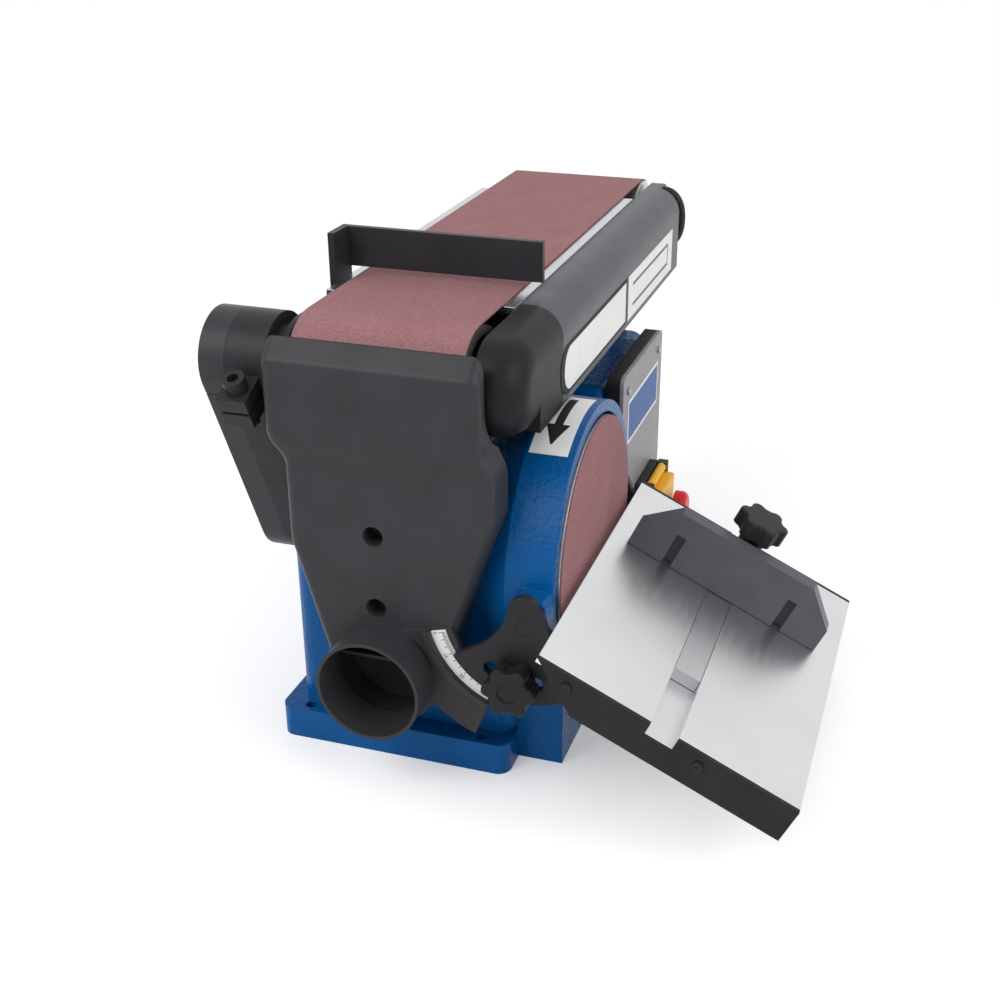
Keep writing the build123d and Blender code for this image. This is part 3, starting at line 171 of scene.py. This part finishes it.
class Shading:
    """A node tree and the one way that a node gets into it."""

    def __init__(self, tree):
        self.tree = tree

    def node(self, kind, settings=None, inputs=None, output=0):
        made = self.tree.nodes.new(kind)
        for name, value in (settings or {}).items():
            setattr(made, name, value)
        for socket, value in (inputs or {}).items():
            self.feed(made.inputs[socket], value)
        return Signal(self, made.outputs[output])

    def feed(self, socket, value):
        if isinstance(value, Signal):
            self.tree.links.new(value.socket, socket)
        else:
            socket.default_value = value

    def seen(self):
        """1 where the ray comes from the camera, a reflection or a see-through piece, and otherwise 0."""
        camera, glossy, through = (
            self.node("ShaderNodeLightPath", output=f"Is {kind} Ray")
            for kind in ("Camera", "Glossy", "Transmission")
        )
        return camera.maths("MAXIMUM", camera, glossy.maths("MAXIMUM", glossy, through))


class Finish(Shading):
    """A material whose colour, roughness and bump come from nodes in the piece's own coordinates."""

    def __init__(self, name, constants=None):
        self.material = bpy.data.materials.new(name)
        self.material.use_nodes = True
        super().__init__(self.material.node_tree)
        self.shader = self.tree.nodes["Principled BSDF"]
        for socket, value in (constants or {}).items():
            self.shader.inputs[socket].default_value = value
        self.place = self.node("ShaderNodeTexCoord", output="Object")

    def set(self, signals):
        for socket, value in signals.items():
            self.feed(self.shader.inputs[socket], value)

    def noise(self, size_mm, detail=3.0, stretch=(1, 1, 1)):
        """Noise whose grain is about size_mm across, drawn out along an axis by a smaller stretch."""
        place = self.place
        if stretch != (1, 1, 1):
            place = self.node("ShaderNodeVectorMath", {"operation": "MULTIPLY"}, {0: place, 1: stretch})
        return self.node("ShaderNodeTexNoise", None,
                         {"Vector": place, "Scale": 1 / (size_mm * MM), "Detail": detail}, "Fac")

    def blend(self, factor, first, second):
        return self.node("ShaderNodeMix", {"data_type": "RGBA"}, {0: factor, 6: first, 7: second}, 2)

    def along(self, axis):
        return self.node("ShaderNodeSeparateXYZ", None, {0: self.place}, axis)

    def relief(self, height, depth_mm, strength, edge_mm):
        """Bump from a height, over edges that catch the light as if rounded by edge_mm."""
        soft_edge = self.node("ShaderNodeBevel", {"samples": 4}, {"Radius": edge_mm * MM})
        bumped = self.node("ShaderNodeBump", None, {
            "Strength": strength, "Distance": depth_mm * MM, "Height": height, "Normal": soft_edge,
        })
        self.set({"Normal": bumped})


def rgb(red, green, blue):
    return (red, green, blue, 1.0)


# Finishes
def cast_paint():
    """Thick glossy blue over a sand casting: soft dimples, a mottled tone and duller patches."""
    paint = Finish("blue_cast_paint", {"Specular IOR Level": LOW_SHEEN})
    mottle = paint.noise(30, detail=4)
    dimples = paint.noise(3.2, detail=2)
    pits = paint.noise(1.1, detail=2)
    paint.set({
        "Base Color": paint.blend(mottle, rgb(0.0, 0.062, 0.21), rgb(0.001, 0.1, 0.32)),
        "Roughness": 0.2 + 0.14 * paint.noise(12),
    })
    paint.relief(dimples + 0.3 * pits, depth_mm=0.9, strength=0.6, edge_mm=1.2)
    return paint


def moulded_plastic(name, dark, light, roughness):
    """Moulded plastic: a faint flow tone and the fine grain of a spark-etched mould."""
    plastic = Finish(name, {"Specular IOR Level": LOW_SHEEN})
    grain = plastic.noise(0.55, detail=2)
    plastic.set({
        "Base Color": plastic.blend(plastic.noise(24), dark, light),
        "Roughness": roughness - 0.06 + 0.12 * plastic.noise(5, detail=2),
    })
    plastic.relief(grain, depth_mm=0.12, strength=0.22, edge_mm=0.8)
    return plastic


def sheet_paint(name, dark, light, roughness):
    """Powder paint on bent sheet: a fine orange peel and slight changes of tone."""
    paint = Finish(name, {"Specular IOR Level": LOW_SHEEN})
    orange_peel = paint.noise(1.1, detail=2)
    paint.set({
        "Base Color": paint.blend(paint.noise(18), dark, light),
        "Roughness": roughness - 0.05 + 0.1 * paint.noise(7),
    })
    paint.relief(orange_peel, depth_mm=0.15, strength=0.2, edge_mm=0.7)
    return paint


def shield_paint():
    """Dark grey sheet whose near end is a blacker, duller moulded cap."""
    paint = Finish("shield_dark_paint", {"Specular IOR Level": LOW_SHEEN})
    cap = paint.along("Y") < SHIELD_CAP_END * MM
    orange_peel = paint.noise(1.0, detail=2)
    sheet = paint.blend(paint.noise(22), rgb(0.06, 0.062, 0.07), rgb(0.092, 0.096, 0.108))
    paint.set({
        "Base Color": paint.blend(cap, sheet, rgb(0.012, 0.012, 0.013)),
        "Roughness": 0.3 + 0.08 * paint.noise(8) + 0.1 * cap,
    })
    paint.relief(orange_peel, depth_mm=0.12, strength=0.18, edge_mm=0.8)
    return paint


def abrasive_grit():
    """Grit in resin: red-brown grains of many tones, each a small bump."""
    grit = Finish("red_brown_grit", {"Specular IOR Level": LOW_SHEEN})
    grain_size = 0.5 * MM
    grains = grit.node("ShaderNodeTexVoronoi", None, {"Vector": grit.place, "Scale": 1 / grain_size}, "Color")
    tone = grit.node("ShaderNodeSeparateColor", None, {0: grains}, 0)
    resin = grit.blend(grit.noise(26, detail=4), rgb(0.225, 0.098, 0.102), rgb(0.31, 0.145, 0.152))
    speckled = grit.blend(0.45 * tone, resin, rgb(0.44, 0.26, 0.27))
    dark_grains = tone > 0.88
    grit.set({
        "Base Color": grit.blend(0.5 * dark_grains, speckled, rgb(0.09, 0.03, 0.035)),
        "Roughness": 0.72 + 0.2 * tone,
    })
    grit.relief(tone + 0.5 * grit.noise(1.6, detail=2), depth_mm=0.35, strength=0.5, edge_mm=0.3)
    return grit


def brushed_metal(name, dark, light, stretch, roughness):
    """Metal drawn over by a belt grinder: fine parallel scratches along one axis."""
    metal = Finish(name, {"Metallic": 1.0})
    scratches = metal.noise(0.9, detail=4, stretch=stretch)
    metal.set({
        "Base Color": metal.blend(metal.noise(35), dark, light),
        "Roughness": roughness - 0.06 + 0.16 * scratches,
    })
    metal.relief(scratches, depth_mm=0.03, strength=0.25, edge_mm=0.5)
    return metal


def turned_metal(name, dark, light):
    """Turned or plated metal: a cloudy tone and fine tool marks."""
    metal = Finish(name, {"Metallic": 1.0})
    metal.set({
        "Base Color": metal.blend(metal.noise(9), dark, light),
        "Roughness": 0.28 + 0.12 * metal.noise(3),
    })
    metal.relief(metal.noise(0.6), depth_mm=0.02, strength=0.2, edge_mm=0.4)
    return metal


def matt_rubber():
    """Rubber with a cloudy, uneven skin."""
    skin = Finish("matt_rubber")
    skin.set({
        "Base Color": skin.blend(skin.noise(6), rgb(0.012, 0.012, 0.012), rgb(0.028, 0.027, 0.026)),
        "Roughness": 0.7 + 0.15 * skin.noise(3, detail=2),
    })
    skin.relief(skin.noise(0.8), depth_mm=0.1, strength=0.3, edge_mm=0.4)
    return skin


def printed(name, dark, light, roughness=0.5):
    """A printed plate: nearly even ink with a slight tooth."""
    ink = Finish(name, {"Specular IOR Level": LOW_SHEEN})
    ink.set({
        "Base Color": ink.blend(ink.noise(11), dark, light),
        "Roughness": roughness + 0.1 * ink.noise(2, detail=2),
    })
    ink.relief(ink.noise(0.5, detail=2), depth_mm=0.02, strength=0.1, edge_mm=0.1)
    return ink


finishes = {
    "blue_casting": cast_paint(),
    "hood_plastic": moulded_plastic(
        "hood_grey_plastic", rgb(0.03, 0.03, 0.034), rgb(0.046, 0.046, 0.052), roughness=0.36),
    "black_paint": sheet_paint(
        "satin_black_paint", rgb(0.017, 0.017, 0.02), rgb(0.029, 0.029, 0.034), roughness=0.38),
    "shield_paint": shield_paint(),
    "abrasive": abrasive_grit(),
    "bright_aluminium": brushed_metal(
        "ground_aluminium", rgb(0.64, 0.65, 0.66), rgb(0.73, 0.735, 0.74),
        stretch=(1, 0.03, 1), roughness=0.32),
    "bright_steel": brushed_metal(
        "ground_steel", rgb(0.5, 0.51, 0.53), rgb(0.64, 0.65, 0.67),
        stretch=(1, 0.04, 1), roughness=0.25),
    "zinc_steel": turned_metal("zinc_plated_steel", rgb(0.3, 0.3, 0.31), rgb(0.45, 0.45, 0.47)),
    "black_plastic": moulded_plastic(
        "black_moulding", rgb(0.011, 0.011, 0.012), rgb(0.024, 0.024, 0.026), roughness=0.4),
    "black_rubber": matt_rubber(),
    "white_scale": printed("white_scale_print", rgb(0.74, 0.74, 0.73), rgb(0.84, 0.84, 0.83)),
    "grey_plate": sheet_paint(
        "grey_switch_plate", rgb(0.22, 0.22, 0.23), rgb(0.29, 0.29, 0.3), roughness=0.4),
    "yellow_plastic": moulded_plastic(
        "yellow_flap_plastic", rgb(0.72, 0.36, 0.01), rgb(0.86, 0.48, 0.02), roughness=0.3),
    "red_plastic": moulded_plastic(
        "red_button_plastic", rgb(0.5, 0.012, 0.012), rgb(0.64, 0.025, 0.022), roughness=0.3),
    "green_plastic": moulded_plastic(
        "green_button_plastic", rgb(0.012, 0.26, 0.06), rgb(0.02, 0.36, 0.09), roughness=0.3),
    "copper_core": turned_metal("copper_winding", rgb(0.38, 0.17, 0.07), rgb(0.55, 0.27, 0.12)),
}
# This black also paints the screw crosses, where it is painted shade in place of each recess's hollow.
black_ink_and_recess_shade = printed("black_ink_and_recess_shade", rgb(0.01, 0.01, 0.011), rgb(0.02, 0.02, 0.021))
blue_ink = printed("blue_ink", rgb(0.012, 0.07, 0.24), rgb(0.018, 0.095, 0.3), roughness=0.35)
grey_ink = printed("grey_ink", rgb(0.12, 0.12, 0.125), rgb(0.18, 0.18, 0.185))

# Nodes that look unlike the other nodes of their material
own_finishes = {
    "mitre_head": sheet_paint(
        "grey_gauge_paint", rgb(0.07, 0.073, 0.084), rgb(0.098, 0.102, 0.118), roughness=0.34),
    "mitre_bar": brushed_metal(
        "drawn_bar", rgb(0.5, 0.5, 0.52), rgb(0.6, 0.6, 0.62),
        stretch=(1, 0.03, 1), roughness=0.36),
}

for part in frame["record"]["subparts"]:
    node = frame["nodes"][part["node"]]
    for slot in node.material_slots:
        slot.material = own_finishes.get(part["node"], finishes[part["material_slot"]]).material


# Printed and stuck-on pieces, screw crosses of painted recess shade and the spring
def add_piece(name, shape, finish, body):
    mesh = bpy.data.meshes.new(name)
    bmesh.ops.recalc_face_normals(shape, faces=shape.faces)
    shape.to_mesh(mesh)
    shape.free()
    piece = bpy.data.objects.new(name, mesh)
    bpy.context.scene.collection.objects.link(piece)
    mesh.materials.append(finish.material)
    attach(piece, body)
    return piece


def flat_plate(shape, outline, place, low, high):
    """A closed plate over an outline of flat points, from height low to height high above place."""
    bottom = [shape.verts.new(place(u, v, low)) for u, v in outline]
    top = [shape.verts.new(place(u, v, high)) for u, v in outline]
    shape.faces.new(bottom)
    shape.faces.new(top)
    count = len(outline)
    for i in range(count):
        j = (i + 1) % count
        shape.faces.new((bottom[i], bottom[j], top[j], top[i]))


def band_plate(shape, rows, place, low, high):
    """A closed plate over rows of points with the same count in each, which may follow a curved place."""
    bottom, top = (
        [[shape.verts.new(place(u, v, level)) for u, v in row] for row in rows]
        for level in (low, high)
    )
    for layer in (bottom, top):
        for row, next_row in zip(layer, layer[1:]):
            for i in range(len(row) - 1):
                shape.faces.new((row[i], row[i + 1], next_row[i + 1], next_row[i]))

    def rim(layer):
        last = [row[-1] for row in layer[1:-1]]
        first = [row[0] for row in layer[1:-1]]
        return layer[0] + last + layer[-1][::-1] + first[::-1]

    edge_low, edge_high = rim(bottom), rim(top)
    for i in range(len(edge_low)):
        j = (i + 1) % len(edge_low)
        shape.faces.new((edge_low[i], edge_low[j], edge_high[j], edge_high[i]))


def on_shield(u, v, height):
    """u along the belt arm, v upwards, height out of the shield's flat face."""
    return Vector((SHIELD_FACE_X + height, u, v)) * MM


def on_switch(u, v, height):
    """u along the machine, v upwards, height out of the switch plate."""
    return Vector((SWITCH_FACE_X + height, u, v)) * MM


def on_guard(u, v, height):
    """u is an angle round the disc's axis, v runs along that axis, height is out of the guard's rim."""
    radius = GUARD_RADIUS + height
    angle = radians(u)
    return Vector((v, DISC_AXIS[0] + radius * cos(angle), DISC_AXIS[1] + radius * sin(angle))) * MM


def on_table(across, along, normal):
    """across runs down the tilt and normal square to it, both from the pivot; along is from the near end."""
    return Vector((
        TABLE_PIVOT[0] + across * cos(TABLE_TILT) + normal * sin(TABLE_TILT),
        TABLE_NEAR_Y + along,
        TABLE_PIVOT[1] - across * sin(TABLE_TILT) + normal * cos(TABLE_TILT),
    )) * MM


def on_tilt_scale(u, v, height):
    """u across the machine and v up from the table's pivot, height towards the operator."""
    face_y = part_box("tilt_scale")[0][1]
    return Vector(((TABLE_PIVOT[0] + u) * MM, face_y - height * MM, (TABLE_PIVOT[1] + v) * MM))


def on_gauge_scale(u, v, height):
    """u across the table and v along it from the gauge's centre, height out of its scale."""
    return on_table(GAUGE_CENTRE[0] + u, GAUGE_CENTRE[1] + v, GAUGE_SCALE_TOP + height)


def rounded_near_end(start, end, low, high, round_radius):
    """A plate's outline whose near end is rounded and whose far end is square."""
    points = [(end, low), (end, high)]
    for i in range(ROUND_STEPS + 1):
        angle = pi / 2 + pi / 2 * i / ROUND_STEPS
        points.append((start + round_radius * (1 + cos(angle)), high - round_radius * (1 - sin(angle))))
    for i in range(ROUND_STEPS + 1):
        angle = pi + pi / 2 * i / ROUND_STEPS
        points.append((start + round_radius * (1 + cos(angle)), low + round_radius * (1 + sin(angle))))
    return points


def rectangle(start, end, low, high):
    return [(start, low), (end, low), (end, high), (start, high)]


def simple_plate(name, outline, place, low, high, finish, body):
    shape = bmesh.new()
    flat_plate(shape, outline, place, low, high)
    return add_piece(name, shape, finish, body)


def shield_plates():
    """Two bare plates on the arm's outer face: one black with a white panel, one white with grey lines."""
    simple_plate("near_plate_border", rounded_near_end(*NEAR_PLATE_BORDER, NEAR_BORDER_ROUND), on_shield,
                 0, PLATE_LIFT, black_ink_and_recess_shade, "arm")
    simple_plate("near_plate_panel", rounded_near_end(*NEAR_PLATE_PANEL, NEAR_PANEL_ROUND), on_shield,
                 PLATE_LIFT, PLATE_LIFT + INK_LIFT, finishes["white_scale"], "arm")
    simple_plate("far_plate", rectangle(*FAR_PLATE), on_shield,
                 0, PLATE_LIFT, finishes["white_scale"], "arm")
    lines = bmesh.new()
    for line in FAR_PLATE_LINES:
        flat_plate(lines, rectangle(*line), on_shield, PLATE_LIFT, PLATE_LIFT + INK_LIFT)
    add_piece("far_plate_lines", lines, grey_ink, "arm")


def switch_label():
    """A bare blue label with a white border on the switch plate."""
    simple_plate("switch_label_border", rectangle(*SWITCH_LABEL_BORDER), on_switch,
                 0, PLATE_LIFT, finishes["white_scale"], "base")
    simple_plate("switch_label_field", rectangle(*SWITCH_LABEL_FIELD), on_switch,
                 PLATE_LIFT, PLATE_LIFT + INK_LIFT, blue_ink, "base")


def rotation_sign():
    """A white sign round the guard's rim with an arrow that shows which way the disc turns."""
    sign = bmesh.new()
    sign_angles = [SIGN_START + (SIGN_END - SIGN_START) * i / SIGN_STEPS for i in range(SIGN_STEPS + 1)]
    sign_rows = [[(angle, edge) for edge in SIGN_EDGES] for angle in sign_angles]
    band_plate(sign, sign_rows, on_guard, 0, PLATE_LIFT)
    add_piece("rotation_sign", sign, finishes["white_scale"], "base")

    shaft = [
        (ARROW_START + (ARROW_NECK - ARROW_START) * i / ARROW_SHAFT_STEPS, ARROW_SHAFT_HALF)
        for i in range(ARROW_SHAFT_STEPS + 1)
    ]
    head = [
        (ARROW_NECK + (ARROW_TIP - ARROW_NECK) * i / ARROW_HEAD_STEPS,
         ARROW_HEAD_HALF * (1 - i / (ARROW_HEAD_STEPS + ARROW_BLUNT_STEPS)))
        for i in range(ARROW_HEAD_STEPS + 1)
    ]
    arrow = bmesh.new()
    for stretch in (shaft, head):
        rows = [[(angle, ARROW_MIDDLE - half), (angle, ARROW_MIDDLE + half)] for angle, half in stretch]
        band_plate(arrow, rows, on_guard, PLATE_LIFT, PLATE_LIFT + INK_LIFT)
    add_piece("rotation_arrow", arrow, black_ink_and_recess_shade, "base")


def radial_tick(shape, place, angle, inner, outer, width):
    radial = Vector((cos(angle), sin(angle)))
    side = Vector((-sin(angle), cos(angle))) * width / 2
    corners = [radial * inner - side, radial * outer - side, radial * outer + side, radial * inner + side]
    flat_plate(shape, [tuple(corner) for corner in corners], place, 0, INK_LIFT)


def figure(name, text, size, origin, right, up, body):
    """Plain figures that stand on a scale: right and up are the reading directions."""
    curve = bpy.data.curves.new(name, "FONT")
    curve.body = text
    curve.size = size * MM
    curve.align_x = "CENTER"
    curve.align_y = "CENTER"
    curve.extrude = INK_LIFT / 2 * MM
    curve.materials.append(black_ink_and_recess_shade.material)
    piece = bpy.data.objects.new(name, curve)
    out = right.cross(up)
    turn = Matrix((right, up, out)).transposed().to_4x4()
    piece.matrix_world = Matrix.Translation(origin) @ turn
    bpy.context.scene.collection.objects.link(piece)
    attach(piece, body)


def tilt_scale_print():
    """One tick for each degree of table tilt, longer at each fifth, with figures at each fifteenth."""
    ticks = bmesh.new()
    inner, outer = TILT_SCALE_RADII
    tick_start = inner + TICK_MARGIN
    for degree in range(TILT_DEGREES + 1):
        length = TILT_LONG_TICK if degree % 5 == 0 else TILT_SHORT_TICK
        radial_tick(ticks, on_tilt_scale, radians(TILT_ZERO_ANGLE + degree),
                    tick_start, tick_start + length, TILT_TICK_WIDTH)
    add_piece("tilt_scale_ticks", ticks, black_ink_and_recess_shade, "base")
    figure_radius = outer - TILT_FIGURE_INSET
    for degree in range(0, TILT_DEGREES + 1, 15):
        angle = radians(TILT_ZERO_ANGLE + degree)
        radial = Vector((cos(angle), 0, sin(angle)))
        tangent = Vector((-sin(angle), 0, cos(angle)))
        spot = on_tilt_scale(figure_radius * cos(angle), figure_radius * sin(angle), INK_LIFT / 2)
        figure(f"tilt_figure_{degree}", str(degree), TILT_FIGURE_SIZE, spot, tangent, -radial, "base")


def gauge_scale_print():
    """A tick at each second degree from square, longer at each tenth, with figures at each thirtieth."""
    ticks = bmesh.new()
    inner, outer = GAUGE_SCALE_RADII
    for degree in range(-GAUGE_DEGREES, GAUGE_DEGREES + 1, 2):
        length = GAUGE_LONG_TICK if degree % 10 == 0 else GAUGE_SHORT_TICK
        radial_tick(ticks, on_gauge_scale, radians(GAUGE_SQUARE_ANGLE + degree),
                    outer - TICK_MARGIN - length, outer - TICK_MARGIN, GAUGE_TICK_WIDTH)
    add_piece("gauge_scale_ticks", ticks, black_ink_and_recess_shade, "gauge_head")
    across = Vector((cos(TABLE_TILT), 0, -sin(TABLE_TILT)))
    along = Vector((0, 1, 0))
    figure_radius = inner + GAUGE_FIGURE_INSET
    for degree in (-60, -30, 0, 30, 60):
        angle = radians(GAUGE_SQUARE_ANGLE + degree)
        radial = across * cos(angle) + along * sin(angle)
        tangent = across * -sin(angle) + along * cos(angle)
        spot = on_gauge_scale(figure_radius * cos(angle), figure_radius * sin(angle), INK_LIFT / 2)
        name = f"gauge_figure_{'left' if degree > 0 else 'right'}_{abs(degree)}"
        figure(name, str(abs(degree)), GAUGE_FIGURE_SIZE, spot, -tangent, radial, "gauge_head")


def cross_recess(shape, place, centre, size):
    """A screw's cross recess, drawn as a thin flat black cross: painted shade in place of the recess's
    hollow.
    """
    u, v = centre
    half, bar = size / 2, size / 8
    outline = [
        (u - half, v - bar), (u - bar, v - bar), (u - bar, v - half),
        (u + bar, v - half), (u + bar, v - bar), (u + half, v - bar),
        (u + half, v + bar), (u + bar, v + bar), (u + bar, v + half),
        (u - bar, v + half), (u - bar, v + bar), (u - half, v + bar),
    ]
    flat_plate(shape, outline, place, 0, INK_LIFT)


def screw_recesses():
    """The crosses in the screws at both ends of the table, as painted shade where their recesses are."""
    low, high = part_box("table_screws")

    def near_end(u, v, height):
        return on_table(u, low[1] / MM - TABLE_NEAR_Y - height, v)

    def far_end(u, v, height):
        return on_table(u, high[1] / MM - TABLE_NEAR_Y + height, v)

    crosses = bmesh.new()
    for across in TABLE_SCREWS_ACROSS:
        for end in (near_end, far_end):
            cross_recess(crosses, end, (across, TABLE_SCREW_HEIGHT), CROSS_SIZE)
    add_piece("table_screw_recesses", crosses, black_ink_and_recess_shade, "table")


def tension_spring_coil():
    """The idler's compression spring as a wound wire of one fixed length that rides with the arm; the real
    spring shortens as the lever slackens the belt.
    """
    low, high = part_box("tension_spring")
    wire_radius = SPRING_WIRE * MM / 2
    centre = (low + high) / 2
    coil_radius = (high.x - low.x) / 2 - wire_radius
    length = high.y - low.y - 2 * wire_radius
    lengthwise = Vector((0, 1, 0))
    steps = SPRING_TURNS * SPRING_STEPS
    side_angles = [2 * pi * k / SPRING_SIDES for k in range(SPRING_SIDES)]
    coil = bmesh.new()
    rings = []
    for i in range(steps + 1):
        turn = 2 * pi * i / SPRING_STEPS
        outward = Vector((cos(turn), 0, sin(turn)))
        spot = Vector((centre.x, low.y + wire_radius + length * i / steps, centre.z)) + outward * coil_radius
        rings.append([
            coil.verts.new(spot + wire_radius * (outward * cos(side) + lengthwise * sin(side)))
            for side in side_angles
        ])
    for ring, next_ring in zip(rings, rings[1:]):
        for k in range(SPRING_SIDES):
            j = (k + 1) % SPRING_SIDES
            coil.faces.new((ring[k], ring[j], next_ring[j], next_ring[k]))
    coil.faces.new(rings[0])
    coil.faces.new(rings[-1])
    piece = add_piece("tension_spring_coil", coil, finishes["zinc_steel"], "arm")
    piece.data.shade_smooth()
    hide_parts("tension_spring")
    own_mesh(piece)


shield_plates()
switch_label()
tension_spring_coil()
rotation_sign()
tilt_scale_print()
gauge_scale_print()
screw_recesses()


# Studio
def studio_floor():
    """Pale paper that keeps the machine's shadow and fades into the white surround."""
    corners = [(-FLOOR_REACH, -FLOOR_REACH, 0), (FLOOR_REACH, -FLOOR_REACH, 0),
               (FLOOR_REACH, FLOOR_REACH, 0), (-FLOOR_REACH, FLOOR_REACH, 0)]
    floor_mesh = bpy.data.meshes.new("floor")
    floor_mesh.from_pydata(corners, [], [(0, 1, 2, 3)])
    floor = bpy.data.objects.new("floor", floor_mesh)
    bpy.context.scene.collection.objects.link(floor)
    paper = Finish("pale_paper", {"Roughness": 0.8, "Emission Strength": 0.3})
    reach = paper.node("ShaderNodeVectorMath", {"operation": "LENGTH"}, {0: paper.place}, "Value")
    far = paper.node("ShaderNodeMapRange", {"interpolation_type": "SMOOTHSTEP"},
                     {"Value": reach, "From Min": FLOOR_FADE_START, "From Max": FLOOR_FADE_END})
    paper.set({
        "Base Color": paper.blend(paper.noise(60), rgb(0.8, 0.8, 0.8), rgb(0.84, 0.84, 0.84)),
        "Emission Color": paper.blend(paper.seen(), rgb(0, 0, 0), rgb(1, 1, 1)),
        "Alpha": 1 - far,
    })
    floor_mesh.materials.append(paper.material)


def studio_world():
    """An even white surround: full white where it is seen, softer where it lights the machine."""
    world = bpy.data.worlds.new("surround")
    bpy.context.scene.world = world
    world.use_nodes = True
    surround = Shading(world.node_tree)
    background = world.node_tree.nodes["Background"].inputs
    background["Color"].default_value = rgb(1, 1, 1)
    surround.feed(background["Strength"], SURROUND_LIGHT + (1 - SURROUND_LIGHT) * surround.seen())


def soft_lamp(name, place, aim, size, power):
    """A square lamp of the given size in metres and power in watts, out of the camera's sight."""
    lamp = bpy.data.lights.new(name, "AREA")
    lamp.size = size
    lamp.energy = power
    holder = bpy.data.objects.new(name, lamp)
    holder.location = place
    holder.rotation_euler = (Vector(aim) - Vector(place)).to_track_quat("-Z", "Y").to_euler()
    holder.visible_camera = False
    bpy.context.scene.collection.objects.link(holder)


def photo_camera():
    """The camera where the photograph was taken, found from the belt, the disc and the table."""
    camera = bpy.data.cameras.new("photo_camera")
    camera.sensor_width = CAMERA_SENSOR
    camera.lens = CAMERA_LENS
    camera.shift_x, camera.shift_y = CAMERA_SHIFT
    holder = bpy.data.objects.new("photo_camera", camera)
    holder.location = CAMERA_PLACE
    holder.rotation_euler = (pi / 2 - CAMERA_DIP, 0, CAMERA_TURN)
    bpy.context.scene.collection.objects.link(holder)
    bpy.context.scene.camera = holder


studio_floor()
studio_world()
soft_lamp("key_lamp", place=(-0.7, -1.1, 1.2), aim=(0, 0, 0.15), size=1.0, power=13)
soft_lamp("side_lamp", place=(1.4, -0.5, 0.9), aim=(0.05, 0, 0.12), size=1.0, power=10)
soft_lamp("top_lamp", place=(0.1, 0.6, 1.6), aim=(0, 0, 0.2), size=1.2, power=3)
photo_camera()

bpy.context.scene.view_settings.view_transform = "Standard"
